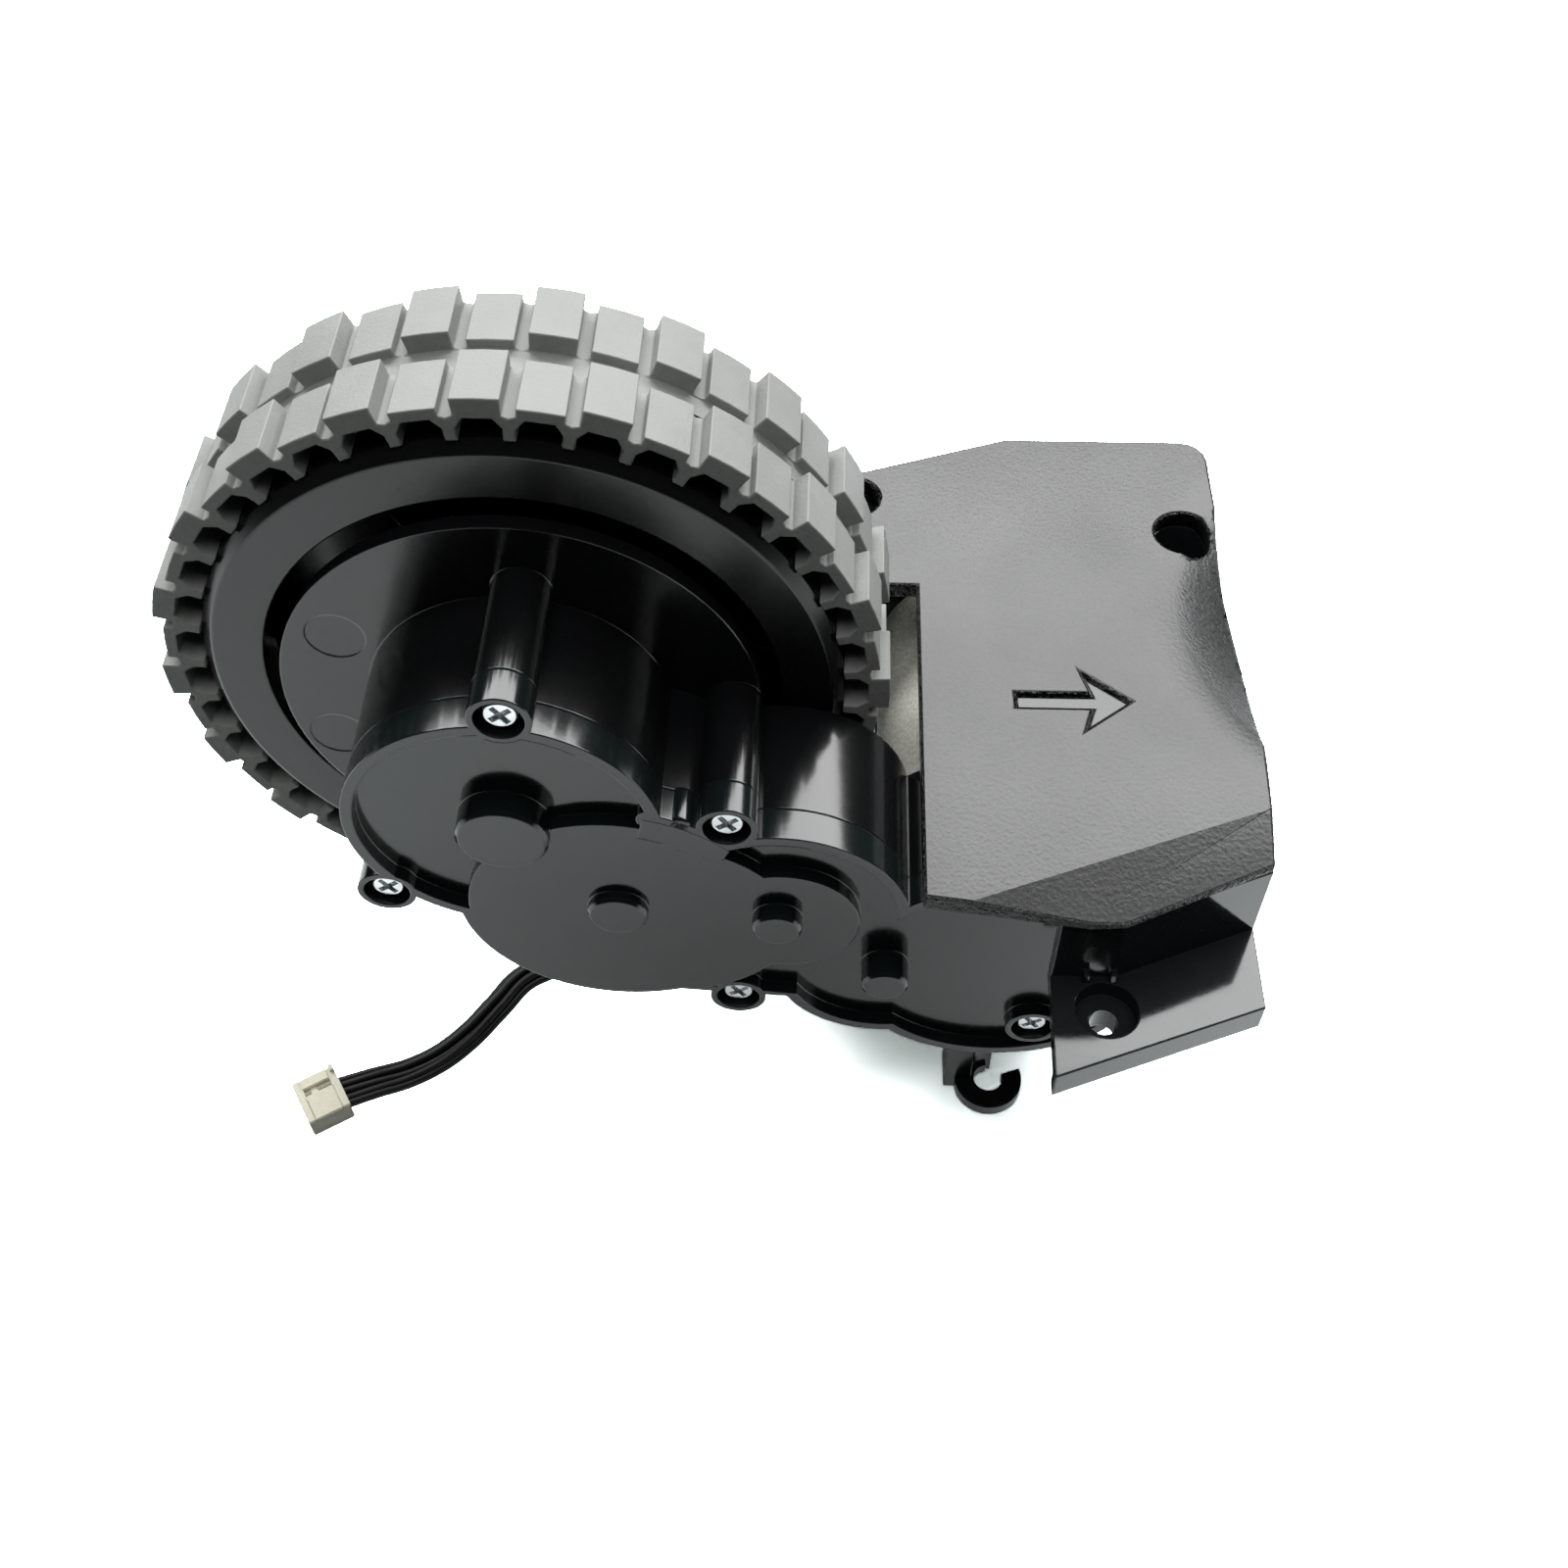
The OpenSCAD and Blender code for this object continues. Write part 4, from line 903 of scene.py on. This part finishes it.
def banded_group(name: str, axis_scale: Point) -> bpy.types.NodeTree:
    """Parallel bands, as stacked sheets or turns of wire lie.

    Args:
        name: The group's name.
        axis_scale: How far the bands are stretched along each axis.

    Returns:
        The group.
    """
    skin = Skin(name)
    scaled = skin.add("Mapping", {"Vector": skin.where, "Scale": axis_scale}).outputs[0]
    scale = skin.math("MULTIPLY", skin.scale, 0.16)
    wave = skin.add("TexWave", {"Vector": scaled, "Scale": scale, "Distortion": 0.6, "Detail": 1.0},
                    bands_direction="DIAGONAL").outputs["Fac"]
    stain = skin.swing(skin.noise(skin.where, 300.0, 4.0))
    rough = skin.wander(skin.given("Roughness"), "Uneven", stain)
    return skin.finish(skin.bump(wave, MM), rough, skin.ramp(wave, 0.0, 1.0, 0.45, 1.1))


def board_group() -> bpy.types.NodeTree:
    """Solder mask over plain tracks.

    Returns:
        The group.
    """
    skin = Skin("solder_mask")
    cells = skin.add("TexVoronoi", {"Vector": skin.where, "Scale": skin.scale},
                     feature="DISTANCE_TO_EDGE", distance="CHEBYCHEV")
    track = skin.ramp(cells.outputs["Distance"], 0.08, 0.14, 1.0, 0.0)
    rough = skin.wander(skin.given("Roughness"), "Uneven", track)
    return skin.finish(skin.bump(track, MM), rough, skin.wander(1.0, "Mottle", track))


class Paintbox:
    """Makes the record's materials, each once."""

    def __init__(self) -> None:
        """Makes the node groups that the materials share."""
        self.groups = {
            Surface.MOULDED: grain_group(),
            Surface.TEXTURED: PlateSkin().group(),
            Surface.RUBBER: rubber_group(),
            Surface.METAL: metal_group(),
            Surface.WOUND: banded_group("wound_wire", (1.0, 0.15, 1.0)),
            Surface.STACKED: banded_group("stacked_sheet", (0.02, 1.0, 0.02)),
            Surface.BOARD: board_group(),
        }
        self.made: dict[str, bpy.types.Material] = {}

    def material(self, slot: str) -> bpy.types.Material:
        """The material for one of the record's slots.

        Args:
            slot: The slot's name.

        Returns:
            Its material.
        """
        if slot not in self.made:
            self.made[slot] = self.mix(slot, FINISHES[slot])
        return self.made[slot]

    def mix(self, name: str, finish: Finish) -> bpy.types.Material:
        """Builds one material.

        Args:
            name: The material's name.
            finish: What it looks like.

        Returns:
            The new material.
        """
        material = bpy.data.materials.new(name)
        material.use_nodes = True
        graph = Graph(material.node_tree)
        grain = graph.add("Group", node_tree=self.groups[finish.surface])
        for label in Skin.INPUTS:
            grain.inputs[label].default_value = getattr(finish, label.lower())
        if finish.rounding:
            grain.inputs["Rounding"].default_value = finish.rounding
        tint = graph.add("VectorMath", {0: finish.color, "Scale": grain.outputs["Tone"]}, operation="SCALE")
        shader = graph.add("BsdfPrincipled", {
            "Base Color": tint.outputs[0], "Roughness": grain.outputs["Roughness"],
            "Normal": grain.outputs["Normal"],
            "Metallic": finish.metallic, "Specular IOR Level": finish.gloss})
        graph.surface(shader)
        material.diffuse_color = (*finish.color, 1.0)
        return material


# Rounded edges

# Up to which angle in degrees two faces are one plane, and how much large faces lead the shading
FLAT_WITHIN = 0.1
LARGE_FACE_WEIGHT = 80


@dataclass(frozen=True)
class Rounding:
    """How the edges of some nodes are rounded.

    Attributes:
        nodes: The nodes.
        radius: The rounding's width, in millimetres.
        segments: Faces across it.
        angle: Edges sharper than this are rounded, in degrees.
    """

    nodes: tuple[str, ...]
    radius: float
    segments: int = 3
    angle: float = 42.0


ROUNDINGS = (
    Rounding(("surface_cover",), 0.35, angle=40.0),
    Rounding(("wheel_hub",), 0.2),
    Rounding(("tyre",), 0.14, 2),
    Rounding(("motor_can", "motor_end_cap"), 0.2, 2),
    Rounding(("board_header",), 0.15, 2),
    Rounding(("gear_cover_screws", "cover_screws", "motor_screws", "hub_screw"), 0.06, 2),
)


class ShapeGroup(Graph):
    """A geometry node group that a modifier runs.

    Attributes:
        last: The socket that the next node takes the shape from.
    """

    def __init__(self, name: str) -> None:
        """Starts the group.

        Args:
            name: The group's name.
        """
        tree = bpy.data.node_groups.new(name, "GeometryNodeTree")
        tree.interface.new_socket("Geometry", in_out="INPUT", socket_type="NodeSocketGeometry")
        tree.interface.new_socket("Geometry", in_out="OUTPUT", socket_type="NodeSocketGeometry")
        tree.is_modifier = True
        super().__init__(tree)
        self.last = self.add("NodeGroupInput").outputs["Geometry"]

    def then(self, kind: str, inputs: dict, **settings: object) -> None:
        """Passes the shape through one more node.

        Args:
            kind: The node's type, without its prefix.
            inputs: Its inputs other than the shape.
            settings: Properties of the node.
        """
        node = self.add("GeometryNode" + kind, {"Geometry": self.last, **inputs}, **settings)
        self.last = node.outputs["Geometry"]

    def finish(self) -> bpy.types.NodeTree:
        """Feeds the output and gives the group."""
        self.tree.links.new(self.last, self.add("NodeGroupOutput").inputs["Geometry"])
        return self.tree


def joined_skin() -> bpy.types.NodeTree:
    """Joins a node's faces at their shared edges and shades them smooth.

    Returns:
        The group.
    """
    shape = ShapeGroup("joined_skin")
    shape.then("RemoveAttribute", {"Name": "custom_normal"})
    shape.then("MergeByDistance", {"Distance": SKIN_WELD})
    shape.then("SetShadeSmooth", {"Shade Smooth": True}, domain="FACE")
    shape.then("SetShadeSmooth", {"Shade Smooth": True}, domain="EDGE")
    return shape.finish()


def level_faces() -> bpy.types.NodeTree:
    """Shades faces that stand square to an axis flat, so that long thin triangles on them don't show.

    Returns:
        The group.
    """
    shape = ShapeGroup("level_faces")
    normal = shape.add("GeometryNodeInputNormal").outputs["Normal"]
    sides = shape.add("SeparateXYZ", {0: shape.vector("ABSOLUTE", normal).outputs[0]}).outputs
    most = shape.math("MAXIMUM", shape.math("MAXIMUM", sides["X"], sides["Y"]), sides["Z"])
    shape.then("SetShadeSmooth", {"Shade Smooth": shape.math("LESS_THAN", most, 0.9999)}, domain="FACE")
    return shape.finish()


def round_edges(rounding: Rounding, skin: bpy.types.NodeTree, level: bpy.types.NodeTree) -> None:
    """Adds a bevel and even shading to each of a rounding's nodes.

    Args:
        rounding: What is rounded, and how.
        skin: The node group that joins a node's faces.
        level: The node group that shades level faces flat.
    """
    for name in rounding.nodes:
        node = frame["nodes"][name]
        joined = node.modifiers.new("skin", "NODES")
        joined.node_group = skin
        planes = node.modifiers.new("planes", "DECIMATE")
        planes.decimate_type = "DISSOLVE"
        planes.angle_limit = math.radians(FLAT_WITHIN)
        planes.delimit = {"NORMAL"}
        bevel = node.modifiers.new("edges", "BEVEL")
        bevel.width = rounding.radius * MM
        bevel.segments = rounding.segments
        bevel.limit_method = "ANGLE"
        bevel.angle_limit = math.radians(rounding.angle)
        bevel.use_clamp_overlap = False
        flat = node.modifiers.new("level", "NODES")
        flat.node_group = level
        even = node.modifiers.new("faces", "WEIGHTED_NORMAL")
        even.keep_sharp = True
        even.mode = "FACE_AREA_WITH_ANGLE"
        even.weight = LARGE_FACE_WEIGHT


# Studio


@dataclass(frozen=True)
class Softbox:
    """A flat light.

    Attributes:
        name: Its name.
        azimuth: Degrees round from the far side, to the right.
        elevation: Degrees above the table.
        distance: From the module, in metres.
        size: Width and height, in metres.
        power: In watts.
        mirrored: Whether glossy surfaces show it.
    """

    name: str
    azimuth: float
    elevation: float
    distance: float
    size: tuple[float, float]
    power: float
    mirrored: bool = True

    def build(self, target: Vector) -> bpy.types.Object:
        """Puts the light in place, turned to the target.

        Args:
            target: What it shines at, in the row frame.

        Returns:
            The light object.
        """
        data = bpy.data.lights.new(self.name, "AREA")
        data.shape = "RECTANGLE"
        data.size, data.size_y = self.size
        data.energy = self.power
        light = bpy.data.objects.new(self.name, data)
        bpy.context.scene.collection.objects.link(light)
        a, e = math.radians(self.azimuth), math.radians(self.elevation)
        away = Vector((math.sin(a) * math.cos(e), math.cos(a) * math.cos(e), math.sin(e)))
        light.location = target + away * self.distance
        light.rotation_euler = away.to_track_quat("Z", "Y").to_euler()
        light.visible_camera = False
        light.visible_glossy = self.mirrored
        return light


# What the lights shine at, in the row frame
LIT_POINT = Vector((0, 0, 0.03))
SOFTBOXES = (
    Softbox("far_panel", 8, 49, 0.9, (1.85, 0.45), 25.5),
    Softbox("top_fill", 184, 84, 0.9, (0.8, 0.8), 6.0, mirrored=False),
)


@dataclass(frozen=True)
class Floor:
    """The pale paper under the module. The camera sees it bright, and it lights the module only a little.

    It lies a little under the lowest point that the tyre reaches when the wheel is pushed in.

    Attributes:
        level: Its height in the row frame, in metres.
        size: Half its side, in metres.
        plain: How pale it is for the light that falls on the module.
        mirrored: How much paler it is in glossy surfaces.
        seen: How much paler it is for the camera.
        tint: Its share of red, green and blue.
    """

    level: float = -0.0152
    size: float = 30.0
    plain: float = 0.05
    mirrored: float = 1.01
    seen: float = 7.5
    tint: Color = (0.98, 1.05, 1.04)

    def paper(self) -> bpy.types.Material:
        """Builds its material.

        Returns:
            The material.
        """
        material = bpy.data.materials.new("floor_paper")
        material.use_nodes = True
        graph = Graph(material.node_tree)
        path = graph.add("LightPath").outputs
        bright = graph.math("MULTIPLY_ADD", path["Is Glossy Ray"], self.mirrored, self.plain)
        bright = graph.math("MULTIPLY_ADD", path["Is Camera Ray"], self.seen, bright)
        shares = {channel: graph.math("MULTIPLY", bright, share) for channel, share in enumerate(self.tint)}
        color = graph.add("CombineColor", shares).outputs[0]
        graph.surface(graph.add("BsdfDiffuse", {"Color": color}))
        return material

    def build(self) -> bpy.types.Object:
        """Lays the floor.

        Returns:
            The floor.
        """
        def fill(bm: bmesh.types.BMesh) -> None:
            """Adds one square."""
            bmesh.ops.create_grid(bm, x_segments=1, y_segments=1, size=self.size)
            bmesh.ops.translate(bm, vec=Vector((0, 0, self.level)), verts=bm.verts)

        floor = add_mesh("floor", fill, smooth=False)
        floor.data.materials.append(self.paper())
        return floor


def make_world(glow: float = 0.035) -> None:
    """White behind the module for the camera, and a dim room for everything else.

    Args:
        glow: The room's strength.
    """
    world = bpy.data.worlds.new("room")
    world.use_nodes = True
    bpy.context.scene.world = world
    graph = Graph(world.node_tree)
    path = graph.add("LightPath").outputs
    strength = graph.math("MULTIPLY_ADD", path["Is Camera Ray"], 1.0, glow)
    graph.surface(graph.add("Background", {"Color": (1, 1, 1, 1), "Strength": strength}), "World")


# The module


class WheelModule:
    """The dressed module: its finishes, edges and added pieces."""

    def __init__(self) -> None:
        """Reads the record's slots."""
        self.paints = Paintbox()
        self.slots = {part["node"]: part["material_slot"] for part in frame["record"]["subparts"]}

    def paint(self, obj: bpy.types.Object, slot: str) -> None:
        """Gives an object one material of the record."""
        obj.data.materials.clear()
        obj.data.materials.append(self.paints.material(slot))

    def dress_nodes(self) -> None:
        """Paints every CAD node by its slot and rounds its edges."""
        for name, node in frame["nodes"].items():
            self.paint(node, self.slots[name])
            log.info("%s painted as %s", name, self.slots[name])
        skin, level = joined_skin(), level_faces()
        for rounding in ROUNDINGS:
            round_edges(rounding, skin, level)

    def add_piece(self, obj: bpy.types.Object, body: str, slot: str, replaced: Iterable[str] = ()) -> None:
        """Paints a piece and lets it ride on a body.

        Args:
            obj: The piece.
            body: The CAD body that carries it.
            slot: The record's slot that it takes its finish from.
            replaced: CAD nodes that it stands for.
        """
        self.paint(obj, slot)
        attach(obj, body)
        if replaced:
            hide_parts(*replaced)
        log.info("%s rides on %s, painted as %s", obj.name, body, slot)

    def add_cover_details(self) -> None:
        """Builds the web and the rib of the gear cover."""
        self.add_piece(CoverBridge().build(), "arm", "gear_cover_plastic")
        self.add_piece(CoverRib().build(), "arm", "gear_cover_plastic")

    def add_cable(self) -> None:
        """Builds the cable and its plug."""
        wires = CABLE.build()
        self.add_piece(wires, "arm", "wire_insulation", ["harness_wires"])
        plug = Plug().build(CABLE.route[-1], CABLE.wires)
        self.add_piece(plug, "arm", "connector_plastic", ["harness_plug"])


def main() -> None:
    """Builds the whole scene."""
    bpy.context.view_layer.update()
    bpy.context.scene.view_settings.view_transform = "Standard"
    make_camera(PHOTO_VIEW)
    module = WheelModule()
    module.add_cable()
    module.add_cover_details()
    module.dress_nodes()
    make_world()
    Floor().build()
    for softbox in SOFTBOXES:
        softbox.build(LIT_POINT)


if __name__ == "__main__":
    main()
